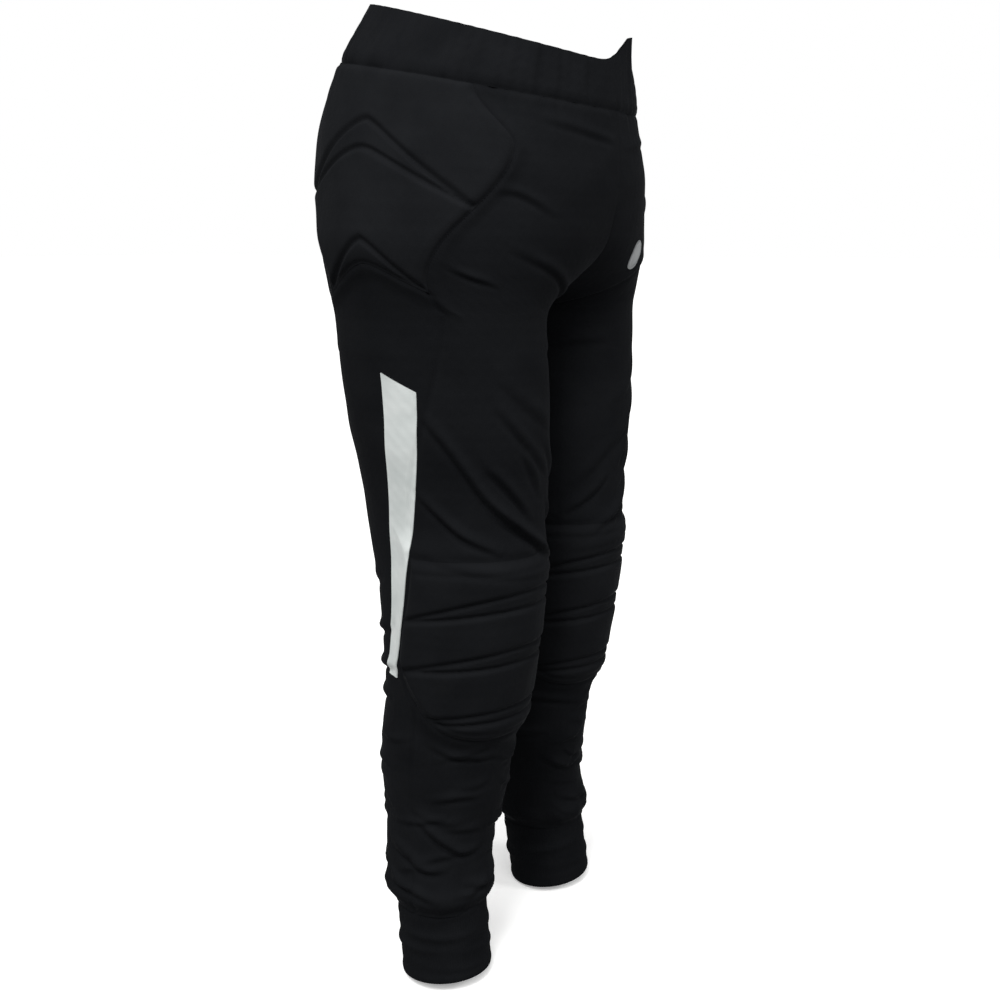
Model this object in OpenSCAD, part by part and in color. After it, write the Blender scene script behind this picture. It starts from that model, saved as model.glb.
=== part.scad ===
// Padded goalkeeper trousers, in the shape they take when worn.
//
// The origin is the middle of the waist opening. +Z is up and the wearer faces -Y, so the
// right leg is on the -X side. Each leg is one smooth tube that opens into its half of the
// seat, and every panel, pad and lining is a patch of that tube. A place on the tube is given
// by two numbers: a turn, from 0 at the inseam round the front to 1 at the inseam again, and
// a drop in millimetres below the waist.

/* [Lengths] */
// Waist opening to hem, along the leg
outseam = 1030; // [860:10:1240]
// Waist opening to the crotch
rise = 285; // [235:5:345]
// Waist opening to the knee crease
knee_drop = 645; // [560:5:760]
// Height of the waistband
band_h = 52; // [35:1:65]
// Height of the ribbed ankle cuff
cuff_h = 88; // [60:2:110]

/* [Widths] */
// Width of the waist opening
waist_w = 320; // [260:5:385]
// Front to back of the waist opening
waist_d = 254; // [210:5:300]
// Width across the seat at its widest
seat_w = 388; // [320:4:470]
// Front to back of the seat
seat_d = 316; // [260:4:360]
// Width of one thigh just under the crotch
thigh_w = 196; // [160:4:236]
// Front to back of one thigh
thigh_d = 232; // [190:4:260]
// Width of one leg at the knee
knee_w = 160; // [130:2:192]
// Front to back of one leg at the knee
knee_d = 178; // [140:2:200]
// Width of one leg at the calf
calf_w = 136; // [110:2:150]
// Outside diameter of the ankle cuff
cuff_dia = 102; // [84:1:124]
// Distance between the two ankle centres
stance = 246; // [200:2:290]

/* [Cloth and padding] */
// Thickness of the outer cloth
cloth = 1.6; // [1.2:0.1:2.4]
// Thickness of the mesh lining behind a pad
lining = 1; // [0.8:0.1:1.4]
// Thickness of the hip foam
hip_pad = 7; // [4:0.5:10]
// Thickness of the knee foam
knee_pad = 10; // [6:0.5:14]
// Thickness of the elastic in the waistband and in the cuffs
elastic = 1.2; // [0.8:0.1:2]
// Width of the side tape
tape_w = 36; // [20:1:44]
// Length of the thigh badge
badge_l = 34; // [20:1:44]

/* [Movement] */
// How far a hip swings forward
hip_flex = 60; // [30:1:65]
// How far a hip swings back
hip_back = 10; // [5:1:15]
// How far a knee folds
knee_flex = 90; // [60:1:95]

/* [Display] */
// One piece, or all of them

/* [Hidden] */

black = [0.10, 0.105, 0.11];
charcoal = [0.16, 0.165, 0.175];
white_tape = [0.80, 0.84, 0.82];
foam_grey = [0.45, 0.46, 0.48];
mesh_grey = [0.30, 0.31, 0.33];
elastic_grey = [0.62, 0.62, 0.60];

// Half of the slit that is left between the two legs, and between the two halves of the seat.
leg_slit = 2;
seat_slit = 0.15;
// Space left between two pieces that are sewn edge to edge.
seam = 0.2;
// How far the front of the waist is lower than the back, for each millimetre of depth.
waist_tilt = 0.27;
tilt_end = rise - 25;

cuff_top = outseam - cuff_h;
thigh_drop = (rise + knee_drop) / 2 - 5;

// The leg tube: drop, half width, half depth, sideways offset and backwards offset.
tube = [
    [0, waist_w / 2, waist_d / 2, 0, 0],
    [band_h + 3, seat_w * 0.474, seat_d * 0.468, 0, 15],
    [rise * 0.456, seat_w / 2, seat_d / 2, 10, 19],
    [rise * 0.702, seat_w * 0.469, seat_d * 0.475, 34, 19],
    [rise + 5, thigh_w / 2, thigh_d / 2, thigh_w / 2 + 6, 16],
    [rise + 105, thigh_w * 0.485, thigh_d * 0.487, thigh_w * 0.485 + 4, 11],
    [thigh_drop + 20, thigh_w * 0.444, thigh_d * 0.448, thigh_w * 0.444 + 7, 6],
    [knee_drop - 45, knee_w / 2 - 3, knee_d / 2, knee_w / 2 + 16, 2],
    [knee_drop + 55, knee_w * 0.45, knee_d * 0.455, knee_w * 0.45 + 22, 9],
    [mix(knee_drop + 55, cuff_top - 12, 0.43), calf_w / 2 + 1, calf_w * 0.56, stance * 0.385, 21],
    [mix(knee_drop + 55, cuff_top - 12, 0.74), calf_w * 0.434, calf_w * 0.463, stance * 0.435, 21],
    [cuff_top - 12, cuff_dia / 2 + 6, cuff_dia / 2 + 8, stance * 0.475, 15],
    [cuff_top + 2, cuff_dia / 2 + 1.5, cuff_dia / 2 + 1.5, stance * 0.48, 13],
    [outseam, cuff_dia / 2, cuff_dia / 2, stance / 2, 3]
];
half_width = 1;
half_depth = 2;
sideways = 3;
backwards = 4;

function mix(a, b, t) = a + (b - a) * t;
function ramp(t) = let(c = max(0, min(1, t))) c * c * (3 - 2 * c);

// The tube's sizes run smoothly through its stations and never overshoot them.
function steepness(i) = (tube[i + 1] - tube[i]) / (tube[i + 1][0] - tube[i][0]);
function between_slopes(a, b) = a * b <= 0 ? 0 : 2 * a * b / (a + b);
slopes = [for (i = [0:len(tube) - 1])
    i == 0 ? steepness(0)
    : i == len(tube) - 1 ? steepness(i - 1)
    : let(a = steepness(i - 1), b = steepness(i)) [for (k = [0:4]) between_slopes(a[k], b[k])]];
function station(drop, i = 0) =
    i >= len(tube) - 2 || drop < tube[i + 1][0] ? i : station(drop, i + 1);
function sizes_at(drop) =
    let(i = station(drop), h = tube[i + 1][0] - tube[i][0],
        t = max(0, min(1, (drop - tube[i][0]) / h)))
    (2 * t ^ 3 - 3 * t ^ 2 + 1) * tube[i] + (t ^ 3 - 2 * t ^ 2 + t) * h * slopes[i]
    + (3 * t ^ 2 - 2 * t ^ 3) * tube[i + 1] + (t ^ 3 - t ^ 2) * h * slopes[i + 1];

// A point of the right leg's tube, moved outwards by out.
function on_leg(turn, drop, out = 0) =
    let(size = sizes_at(drop), a = size[half_width], b = size[half_depth],
        side = size[sideways], back = size[backwards],
        start = acos(max(-1, min(1, side / a))),
        angle = start + turn * (360 - 2 * start),
        slit = mix(seat_slit, leg_slit, ramp((drop - rise + 40) / 60)),
        y = back - (b + out) * sin(angle),
        tilt = waist_tilt * max(0, 1 - drop / tilt_end) ^ 1.5)
    [-max(slit, side - (a + out) * cos(angle)), y, -drop + tilt * (y - back)];

// The drop between low and high at which the tube meets a border, given as a height for each point.
function drop_where(border, turn, low, high, tries = 14) =
    let(drop = (low + high) / 2, p = on_leg(turn, drop))
    tries == 0 ? drop
    : p.z > border(p) ? drop_where(border, turn, drop, high, tries - 1)
    : drop_where(border, turn, low, drop, tries - 1);

// ---- Where the trousers bend ----
hip_y = 15;
hip_z = -(rise - 95);
hip_reach = rise * 0.393;
thigh_top = -hip_z + hip_reach + 3;
knee_y = 4;
knee_z = -knee_drop;
knee_gap = 0.4;

// The seat keeps clear of the thigh at every swing: a curve round the hip, with straight ends.
function seat_border(y) =
    let(r = y - hip_y, front = -hip_reach * sin(hip_flex), rear = hip_reach * sin(hip_back))
    hip_z + (
        r < front ? -(hip_reach + r * sin(hip_flex)) / cos(hip_flex)
        : r > rear ? -(hip_reach - r * sin(hip_back)) / cos(hip_back)
        : -sqrt(hip_reach ^ 2 - r ^ 2)
    );
function thigh_knee_border(y) = knee_z + knee_gap + max(0, y - knee_y) * tan(knee_flex / 2 + 0.5);
function shin_knee_border(y) = knee_z - knee_gap - max(0, y - knee_y) * tan(knee_flex / 2 + 0.5);

function seat_end(turn) = drop_where(function(p) seat_border(p.y), turn, rise / 2, thigh_top);
function thigh_end(turn) =
    drop_where(function(p) thigh_knee_border(p.y), turn, knee_drop - knee_d, knee_drop + 5);
function shin_start(turn) =
    drop_where(function(p) shin_knee_border(p.y), turn, knee_drop - 5, knee_drop + knee_d);

// ---- Seams ----
hip_mid = 0.515;
hip_foot_turn = 0.41;
hip_foot = rise - 21;
pocket_drop = rise * 0.39;
side_turn = 0.5;
side_end = knee_drop - 130;
// The front seam of the hip panel swells forward at the pocket, then falls to the side seam.
function hip_front(drop) =
    drop < pocket_drop ? mix(0.33, 0.25, ramp((drop - band_h) / (pocket_drop - band_h)))
    : mix(0.25, hip_foot_turn, ramp((drop - pocket_drop) / (hip_foot - pocket_drop)));
function hip_rear(drop) = 2 * hip_mid - hip_front(drop);
function side_seam(drop) =
    mix(hip_foot_turn, side_turn, ramp((drop - hip_foot) / (side_end - hip_foot)));
// The two quilted chevrons of the hip pad point up at the side of the hip.
function chevron_1(turn) = rise * 0.44 + abs(turn - hip_mid) * 245;
function chevron_2(turn) = rise * 0.80 + abs(turn - hip_mid) * 330;

// The knee panel: its top, its three quilted grooves and its rounded foot.
knee_top = knee_drop - 115;
knee_groove_1 = knee_drop - 61;
knee_mid = 0.26;
knee_groove_low = knee_drop + 62;
function knee_foot(turn) = knee_drop + 90 - 55 * abs((turn - knee_mid) / knee_mid) ^ 4;
// The lowest groove runs into the rounded foot at each side.
function knee_groove_3(turn) = min(knee_groove_low, knee_foot(turn) - 3);

// ---- Patches ----
// A closed solid between two grids of points; a looped grid closes on itself sideways.
module between(outer, inner, looped = false) {
    rows = len(outer);
    cols = len(outer[0]);
    n = rows * cols;
    last = looped ? cols - 1 : cols - 2;
    function at(r, c) = r * cols + c % cols;
    polyhedron(
        points = concat([for (row = outer) each row], [for (row = inner) each row]),
        faces = concat(
            [for (r = [0:rows - 2]) for (c = [0:last])
                each [[at(r, c), at(r + 1, c + 1), at(r, c + 1)],
                      [at(r, c), at(r + 1, c), at(r + 1, c + 1)],
                      [n + at(r, c), n + at(r, c + 1), n + at(r + 1, c + 1)],
                      [n + at(r, c), n + at(r + 1, c + 1), n + at(r + 1, c)]]],
            [for (c = [0:last])
                each [[at(0, c), at(0, c + 1), n + at(0, c + 1)],
                      [at(0, c), n + at(0, c + 1), n + at(0, c)],
                      [at(rows - 1, c), n + at(rows - 1, c + 1), at(rows - 1, c + 1)],
                      [at(rows - 1, c), n + at(rows - 1, c), n + at(rows - 1, c + 1)]]],
            looped ? [] : [for (r = [0:rows - 2])
                each [[at(r, 0), n + at(r + 1, 0), at(r + 1, 0)],
                      [at(r, 0), n + at(r, 0), n + at(r + 1, 0)],
                      [at(r, cols - 1), at(r + 1, cols - 1), n + at(r + 1, cols - 1)],
                      [at(r, cols - 1), n + at(r + 1, cols - 1), n + at(r, cols - 1)]]]
        ),
        convexity = 8
    );
}

// Where a patch's fractions s across and t down fall, as a turn and a drop. from and to give its
// side edges at a drop, top and foot its ends at a turn, so the two are found together.
function place(from, to, top, foot, s, t, turn = 0.3, tries = 5) =
    let(drop = mix(top(turn), foot(turn), t))
    tries == 0 ? [turn, drop] : place(from, to, top, foot, s, t, mix(from(drop), to(drop), s), tries - 1);

// A patch of cloth.
module patch(from, to, top, foot, out, thick, across = 10, down = 12) {
    function grid(push) = [for (j = [0:down]) [for (i = [0:across])
        let(q = place(from, to, top, foot, i / across, j / down),
            inset = j == 0 ? seam : j == down ? -seam : 0)
        on_leg(q[0], q[1] + inset, push)]];
    between(grid(out), grid(out - thick));
}

// Foam and lining lie this far from the cloth and from each other, to clear each other's facets.
foam_gap = 1.6;

// How full a pad is at a fraction of its width: thin at its sewn edges, full elsewhere.
edge_share = 0.07;
flat_share = 0.12;
function fullness(t) = t <= 0 || t >= 1 ? flat_share : 1;
function steps(n) = concat([0, edge_share], [for (i = [1:n - 1]) i / n], [1 - edge_share, 1]);

// A quilted patch: lines holds the quilting lines from top to foot, each a drop for each turn.
// The cloth or foam rises to full between two lines. low and high are its two surfaces when full.
// taper is the share of its width over which it thickens from its first side edge.
module quilt(from, to, lines, low, high, base, across = 7, down = 2, taper = 0) {
    rows = [for (k = [0:len(lines) - 2]) for (f = steps(down)) if (k == 0 || f > 0) [k, f]];
    function share(s) = taper == 0 ? fullness(s) : min(fullness(s), mix(flat_share, 1, ramp(s / taper)));
    function grid(full) = [for (row = rows) [for (s = steps(across))
        let(q = place(from, to, lines[row[0]], lines[row[0] + 1], s, row[1]))
        on_leg(q[0], q[1], base + (full - base) * fullness(row[1]) * share(s))]];
    between(grid(high), grid(low));
}

// ---- Waist ----
waist_turns = [for (i = [0:14]) i / 14];
function waist_ring(drop, out) = concat(
    [for (t = waist_turns) on_leg(t, drop, out)],
    [for (i = [len(waist_turns) - 1:-1:0]) let(p = on_leg(waist_turns[i], drop, out)) [-p.x, p.y, p.z]]
);
module waist_tube(top, foot, out, thick) {
    drops = [for (j = [0:4]) mix(top, foot, j / 4)];
    between([for (d = drops) waist_ring(d, out)], [for (d = drops) waist_ring(d, out - thick)],
        looped = true);
}
module waistband() color(charcoal) waist_tube(0, band_h, cloth / 2, cloth);
module waist_elastic()
    color(elastic_grey) waist_tube(4, band_h - 8, -cloth / 2 - 1.2, elastic);

// ---- Seat ----
side_gap = 0.004;
module seat_front() color(black)
    patch(function(d) 0, function(d) d < hip_foot ? hip_front(d) : side_seam(d),
        function(u) band_h, function(u) seat_end(u), 0, cloth, across = 9, down = 9);
module seat_back() color(black)
    patch(function(d) d < hip_foot ? hip_rear(d) : 2 * hip_mid - hip_foot_turn, function(d) 1,
        function(u) band_h, function(u) seat_end(u), 0, cloth, across = 9, down = 9);
module seat_side() color(black)
    patch(function(d) side_seam(d) + side_gap, function(d) 2 * hip_mid - hip_foot_turn - side_gap,
        function(u) chevron_2(u), function(u) seat_end(u), 0, cloth, across = 6, down = 2);
module hip_panel() color(charcoal)
    quilt(function(d) hip_front(d), function(d) hip_rear(d),
        [function(u) band_h + seam, function(u) chevron_1(u), function(u) chevron_2(u) - seam],
        hip_pad + seam, hip_pad + cloth, 0, across = 9, down = 3);
module hip_foam(top, foot) color(foam_grey)
    quilt(function(d) hip_front(d) + 0.012, function(d) hip_rear(d) - 0.012,
        [top, foot], 0, hip_pad - foam_gap, -seam, across = 9, down = 3);
module hip_foam_upper() hip_foam(function(u) band_h + 6, function(u) chevron_1(u) - 5);
module hip_foam_lower() hip_foam(function(u) chevron_1(u) + 5, function(u) chevron_2(u) - 6);
module hip_lining() color(mesh_grey)
    patch(function(d) hip_front(d) + 0.005, function(d) hip_rear(d) - 0.005,
        function(u) band_h + 4, function(u) chevron_2(u) - 4, -foam_gap, lining, across = 8, down = 5);

// ---- The cloth that folds at the groin and under the seat ----
groin_gap = 1.4;
module groin_front() color(black)
    patch(function(d) side_gap, function(d) side_turn, function(u) seat_end(u) + groin_gap,
        function(u) thigh_top - seam, 0, cloth, across = 10, down = 4);
module groin_back() color(black)
    patch(function(d) side_turn + side_gap, function(d) 1 - side_gap,
        function(u) seat_end(u) + groin_gap, function(u) thigh_top - seam, 0, cloth,
        across = 10, down = 2);

// ---- Thigh ----
module thigh_front() color(black)
    patch(function(d) 0, function(d) side_seam(d), function(u) thigh_top, function(u) knee_top,
        0, cloth, across = 9, down = 9);
module thigh_back() color(black)
    patch(function(d) side_seam(d) + 0.002, function(d) 0.998, function(u) thigh_top,
        function(u) thigh_end(u), 0, cloth, across = 9, down = 12);
knee_taper = 0.3;
module knee_panel(lines) color(charcoal)
    quilt(function(d) 0.002, function(d) side_turn, lines, knee_pad + seam, knee_pad + cloth, 0,
        across = 8, down = 2, taper = knee_taper);
module knee_panel_upper() knee_panel([function(u) knee_top + seam,
    function(u) knee_groove_1, function(u) knee_drop - knee_gap]);
module knee_foam(top, foot, inset = 0.02) color(foam_grey)
    quilt(function(d) inset, function(d) knee_mid * 2 - inset - 0.02, [top, foot], 0,
        knee_pad - foam_gap, -seam, across = 8, down = 2, taper = knee_taper);
module knee_foam_1() knee_foam(function(u) knee_top + 4, function(u) knee_groove_1 - 4);
module knee_foam_2() knee_foam(function(u) knee_groove_1 + 4, function(u) knee_drop - 4);
module knee_lining_upper() color(mesh_grey)
    patch(function(d) 0.006, function(d) side_turn - 0.006, function(u) knee_top + 2,
        function(u) knee_drop - 1, -foam_gap, lining, across = 8, down = 3);
// The tape starts behind the side seam and drifts backwards as it narrows down the leg.
tape_top = rise + 62;
tape_foot = knee_drop - 6;
function tape_middle(drop) =
    mix(0.486, 0.565, max(0, (drop - tape_top) / (tape_foot - tape_top)) ^ 1.4);
function tape_half(drop) =
    let(size = sizes_at(drop), round = PI * (size[half_width] + size[half_depth]))
    mix(tape_w, tape_w * 0.55, ramp((drop - tape_top) / (tape_foot - tape_top))) / round / 2;
module side_tape() color(white_tape)
    patch(function(d) tape_middle(d) - tape_half(d), function(d) tape_middle(d) + tape_half(d),
        function(u) tape_top + (0.486 - u) * 330, function(u) min(thigh_end(u) - 4, tape_foot),
        0.9, 0.7, across = 3, down = 18);
// A small plain oval badge low on the front of the left thigh.
badge_top = rise - 80;
badge_turn = 0.128;
badge_half = 0.024;
function badge_reach(drop) =
    badge_half * sqrt(max(0.04, 1 - ((drop - badge_top) / badge_l * 2 - 1) ^ 2));
module thigh_badge() color(white_tape) mirror([1, 0, 0])
    patch(function(d) badge_turn - badge_reach(d), function(d) badge_turn + badge_reach(d),
        function(u) badge_top, function(u) badge_top + badge_l, 0.9, 0.7, across = 4, down = 10);

// ---- The cloth that folds behind the knee ----
module knee_hollow() color(black)
    patch(function(d) side_turn + 0.002, function(d) 0.998, function(u) thigh_end(u) + seam,
        function(u) shin_start(u) - seam, 0, cloth, across = 9, down = 6);

// ---- Shin ----
cuff_head = [-stance * 0.48, 13, -cuff_top];
cuff_hem = [-stance / 2, 3, -outseam];
cuff_run = cuff_head - cuff_hem;
// The legs end on the cuff's upper rim, which leans as the cuff does.
function cuff_border(p) =
    cuff_head.z + 0.6
    - ((p.x - cuff_head.x) * cuff_run.x + (p.y - cuff_head.y) * cuff_run.y) / cuff_run.z;
function cuff_start(turn) = drop_where(function(p) cuff_border(p), turn, cuff_top - 15, cuff_top + 15);
module knee_panel_lower() knee_panel([function(u) knee_drop + knee_gap,
    function(u) knee_groove_3(u), function(u) knee_foot(u) - seam]);
module knee_foam_3() knee_foam(function(u) knee_drop + 4, function(u) knee_groove_3(u) - 4);
module knee_foam_4() knee_foam(function(u) knee_groove_low + 4, function(u) knee_foot(u) - 5,
    inset = 0.09);
module knee_lining_lower() color(mesh_grey)
    patch(function(d) 0.006, function(d) side_turn - 0.006, function(u) knee_drop + 1,
        function(u) knee_foot(u) - 2, -foam_gap, lining, across = 8, down = 3);
module shin_front() color(black)
    patch(function(d) 0, function(d) side_turn, function(u) knee_foot(u),
        function(u) cuff_start(u), 0, cloth, across = 9, down = 12);
module calf() color(black)
    patch(function(d) side_turn + 0.002, function(d) 0.998, function(u) shin_start(u),
        function(u) cuff_start(u), 0, cloth, across = 9, down = 12);

// ---- Ankle ----
cuff_wall = 3;
elastic_h = 30;
// Stands children on the hem, with their Z along the cuff.
module on_cuff() {
    translate(cuff_hem)
        rotate([0, acos(cuff_run.z / norm(cuff_run)), atan2(cuff_run.y, cuff_run.x)]) children();
}
module tube_ring(dia, wall, h) difference() {
    cylinder(d = dia, h = h, $fn = 96);
    translate([0, 0, -1]) cylinder(d = dia - 2 * wall, h = h + 2, $fn = 96);
}
module cuff() color(charcoal) on_cuff()
    tube_ring(cuff_dia, cuff_wall, norm(cuff_run) - 0.5);
module ankle_elastic() color(elastic_grey) on_cuff() translate([0, 0, 4])
    tube_ring(cuff_dia - 2 * cuff_wall, elastic, elastic_h);

module left() mirror([1, 0, 0]) children();

waistband();
waist_elastic();
seat_front();  // seat_front_right
seat_back();  // seat_back_right
seat_side();  // seat_side_right
hip_panel();  // hip_panel_right
hip_foam_upper();  // hip_foam_upper_right
hip_foam_lower();  // hip_foam_lower_right
hip_lining();  // hip_lining_right
groin_front();  // groin_front_right
groin_back();  // groin_back_right
thigh_front();  // thigh_front_right
thigh_back();  // thigh_back_right
knee_panel_upper();  // knee_panel_upper_right
knee_foam_1();  // knee_foam_1_right
knee_foam_2();  // knee_foam_2_right
knee_lining_upper();  // knee_lining_upper_right
side_tape();  // side_tape_right
knee_hollow();  // knee_hollow_right
knee_panel_lower();  // knee_panel_lower_right
knee_foam_3();  // knee_foam_3_right
knee_foam_4();  // knee_foam_4_right
knee_lining_lower();  // knee_lining_lower_right
shin_front();  // shin_front_right
calf();  // calf_right
cuff();  // cuff_right
ankle_elastic();  // ankle_elastic_right
left() seat_front();  // seat_front_left
left() seat_back();  // seat_back_left
left() seat_side();  // seat_side_left
left() hip_panel();  // hip_panel_left
left() hip_foam_upper();  // hip_foam_upper_left
left() hip_foam_lower();  // hip_foam_lower_left
left() hip_lining();  // hip_lining_left
left() groin_front();  // groin_front_left
left() groin_back();  // groin_back_left
left() thigh_front();  // thigh_front_left
left() thigh_back();  // thigh_back_left
left() knee_panel_upper();  // knee_panel_upper_left
left() knee_foam_1();  // knee_foam_1_left
left() knee_foam_2();  // knee_foam_2_left
left() knee_lining_upper();  // knee_lining_upper_left
left() side_tape();  // side_tape_left
left() knee_hollow();  // knee_hollow_left
left() knee_panel_lower();  // knee_panel_lower_left
left() knee_foam_3();  // knee_foam_3_left
left() knee_foam_4();  // knee_foam_4_left
left() knee_lining_lower();  // knee_lining_lower_left
left() shin_front();  // shin_front_left
left() calf();  // calf_left
left() cuff();  // cuff_left
left() ankle_elastic();  // ankle_elastic_left
thigh_badge();
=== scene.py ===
# %% [markdown]
# # Padded goalkeeper trousers
# These are long football trousers for a goalkeeper, in the shape they take on a wearer. The cloth
# is a black brushed knit. Foam is quilted in over the hips and knees, the waist is gathered on
# elastic, a white tape runs down each side, and each leg ends in a ribbed cuff. The whole garment
# is drawn from one idea: each leg is a tube, and every panel, pad and lining is a patch of that
# tube. A place on the tube is a turn, from 0 at the inseam round the front to 1 at the inseam
# again, and a drop in metres below the waist.

# %% Load the frame
import math

import bpy
import numpy as np
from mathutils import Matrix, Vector


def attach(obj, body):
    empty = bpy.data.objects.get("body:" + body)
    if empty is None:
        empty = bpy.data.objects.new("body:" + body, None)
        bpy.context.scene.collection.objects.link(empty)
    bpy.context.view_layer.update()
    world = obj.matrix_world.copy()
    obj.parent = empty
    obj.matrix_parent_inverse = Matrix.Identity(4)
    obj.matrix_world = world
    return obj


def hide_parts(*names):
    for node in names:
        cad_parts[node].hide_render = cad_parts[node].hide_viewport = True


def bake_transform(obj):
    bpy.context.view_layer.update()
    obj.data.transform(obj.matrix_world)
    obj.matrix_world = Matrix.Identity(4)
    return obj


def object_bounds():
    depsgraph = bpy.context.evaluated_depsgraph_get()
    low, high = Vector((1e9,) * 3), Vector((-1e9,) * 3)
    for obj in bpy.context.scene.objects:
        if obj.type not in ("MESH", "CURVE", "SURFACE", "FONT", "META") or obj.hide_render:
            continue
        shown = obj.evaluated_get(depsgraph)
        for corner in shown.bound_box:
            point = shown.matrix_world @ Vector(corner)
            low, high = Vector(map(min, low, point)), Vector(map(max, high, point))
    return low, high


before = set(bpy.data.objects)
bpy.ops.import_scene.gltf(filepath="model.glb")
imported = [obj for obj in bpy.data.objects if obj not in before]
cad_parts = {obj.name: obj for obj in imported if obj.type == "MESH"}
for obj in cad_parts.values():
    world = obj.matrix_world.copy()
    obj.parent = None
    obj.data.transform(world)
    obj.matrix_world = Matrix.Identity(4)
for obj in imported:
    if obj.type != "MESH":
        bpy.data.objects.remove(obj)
cad_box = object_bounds()
rng = np.random.default_rng(7)

# %% [markdown]
# ## Camera, floor and light
# The camera stands a little to the front of the wearer's right side, at hip height, and tips
# down. A white floor under a white sky makes a plain studio. Dark cloth shows its shape only
# where light comes at a slant, so most of the light is one very soft lamp high on the left, and
# the sky gives little light although it is seen as white.

# %% Camera
VIEW_TURN = math.radians(58.6)
VIEW_TIP = math.radians(12.4)
CAMERA_PLACE = Vector((-1.1131, -0.6734, -0.2159))
FOCAL_MM = 41.47

camera = bpy.data.objects.new("camera", bpy.data.cameras.new("camera"))
bpy.context.scene.collection.objects.link(camera)
camera.location = CAMERA_PLACE
look = Vector((math.sin(VIEW_TURN) * math.cos(VIEW_TIP), math.cos(VIEW_TURN) * math.cos(VIEW_TIP),
               -math.sin(VIEW_TIP)))
camera.rotation_euler = look.to_track_quat("-Z", "Y").to_euler()
camera.data.lens = FOCAL_MM
camera.data.sensor_width = 36
camera.data.clip_start = 0.05
bpy.context.scene.camera = camera
bpy.context.scene.view_settings.view_transform = "Standard"


# %% Colour helper
def colour(code, alpha=1.0):
    """A #rrggbb sRGB colour as the linear values that Blender's sockets take."""
    channels = [int(code[i:i + 2], 16) / 255 for i in (1, 3, 5)]
    linear = [c / 12.92 if c <= 0.04045 else ((c + 0.055) / 1.055) ** 2.4 for c in channels]
    return (*linear, alpha)


# %% Node helper
def add(tree, kind, inputs=None, **settings):
    """Adds a shader node. inputs maps a socket to a value, or to another node's output."""
    made = tree.nodes.new(kind)
    for name, value in settings.items():
        setattr(made, name, value)
    for socket, value in (inputs or {}).items():
        if isinstance(value, bpy.types.NodeSocket):
            tree.links.new(value, made.inputs[socket])
        else:
            made.inputs[socket].default_value = value
    return made


# %% Sky, floor and lamps
SKY_LIGHT = 0.23
world = bpy.data.worlds.new("studio")
bpy.context.scene.world = world
world.use_nodes = True
sky = world.node_tree
ray = add(sky, "ShaderNodeLightPath").outputs["Is Camera Ray"]
strength = add(sky, "ShaderNodeMapRange",
               {"Value": ray, "To Min": SKY_LIGHT, "To Max": 1.0}).outputs["Result"]
sky.nodes["Background"].inputs["Color"].default_value = colour("#ffffff")
sky.links.new(strength, sky.nodes["Background"].inputs["Strength"])

FLOOR_HALF = 80.0
FLOOR_GAP = 0.001
floor_z = cad_box[0][2] - FLOOR_GAP
floor_mesh = bpy.data.meshes.new("floor")
floor_mesh.from_pydata([(x, y, floor_z) for x, y in
                        ((-FLOOR_HALF, -FLOOR_HALF), (FLOOR_HALF, -FLOOR_HALF),
                         (FLOOR_HALF, FLOOR_HALF), (-FLOOR_HALF, FLOOR_HALF))], [], [(0, 1, 2, 3)])
floor = bpy.data.objects.new("floor", floor_mesh)
bpy.context.scene.collection.objects.link(floor)
paper = bpy.data.materials.new("matt white paper floor")
paper.use_nodes = True
paper_shader = paper.node_tree.nodes["Principled BSDF"]
paper_shader.inputs["Base Color"].default_value = colour("#fdfdfc")
# A lit sheet under the paper lightens its shadows.
paper_shader.inputs["Emission Color"].default_value = colour("#ffffff")
paper_shader.inputs["Emission Strength"].default_value = 0.30
paper_shader.inputs["Roughness"].default_value = 0.9
paper_shader.inputs["Specular IOR Level"].default_value = 0.1
floor_mesh.materials.append(paper)
# The floor throws no light back on the cloth. From below, too, only the sky lights it.
floor.visible_diffuse = False


def lamp(name, place, aim, size, watts):
    """A square area lamp at place that looks at aim."""
    light = bpy.data.lights.new(name, "AREA")
    light.size, light.energy = size, watts
    holder = bpy.data.objects.new(name, light)
    holder.location = place
    holder.rotation_euler = (Vector(aim) - Vector(place)).to_track_quat("-Z", "Y").to_euler()
    bpy.context.scene.collection.objects.link(holder)


# The main lamp is so large and far that it lights the floor evenly right to the horizon.
sun = bpy.data.lights.new("soft key", "SUN")
sun.energy, sun.angle = 2.9, math.radians(60)
key = bpy.data.objects.new("soft key", sun)
key.rotation_euler = Vector((0.55, 0.10, -1.0)).to_track_quat("-Z", "Y").to_euler()
bpy.context.scene.collection.objects.link(key)
lamp("hip light", (-1.3, -0.4, 0.75), (-0.12, -0.1, -0.10), 0.4, 14)
lamp("front light", (0.6, -2.0, 0.5), (0, 0, -0.5), 0.6, 17)
print("camera at", tuple(round(v, 3) for v in camera.location), "floor at", round(floor_z, 3))

# %% [markdown]
# ## The leg tube
# The sizes are the ones a pattern cutter would measure: widths, depths and lengths in metres.
# They run smoothly through fourteen stations down the leg with a spline that never overshoots.
# Above the crotch the tube opens along the centre line, and the two legs meet there as the seat.

# %% Sizes
OUTSEAM, RISE, KNEE_DROP, BAND_H, CUFF_H = 1.030, 0.285, 0.645, 0.052, 0.088
WAIST_W, WAIST_D, SEAT_W, SEAT_D = 0.320, 0.254, 0.388, 0.316
THIGH_W, THIGH_D, KNEE_W, KNEE_D, CALF_W = 0.196, 0.232, 0.160, 0.178, 0.136
CUFF_DIA, STANCE = 0.102, 0.246
CLOTH, HIP_PAD, KNEE_PAD = 0.0016, 0.007, 0.010
MM = 0.001
CUFF_TOP = OUTSEAM - CUFF_H
THIGH_DROP = (RISE + KNEE_DROP) / 2 - 5 * MM
WAIST_TILT, TILT_END = 0.27, RISE - 25 * MM


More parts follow.
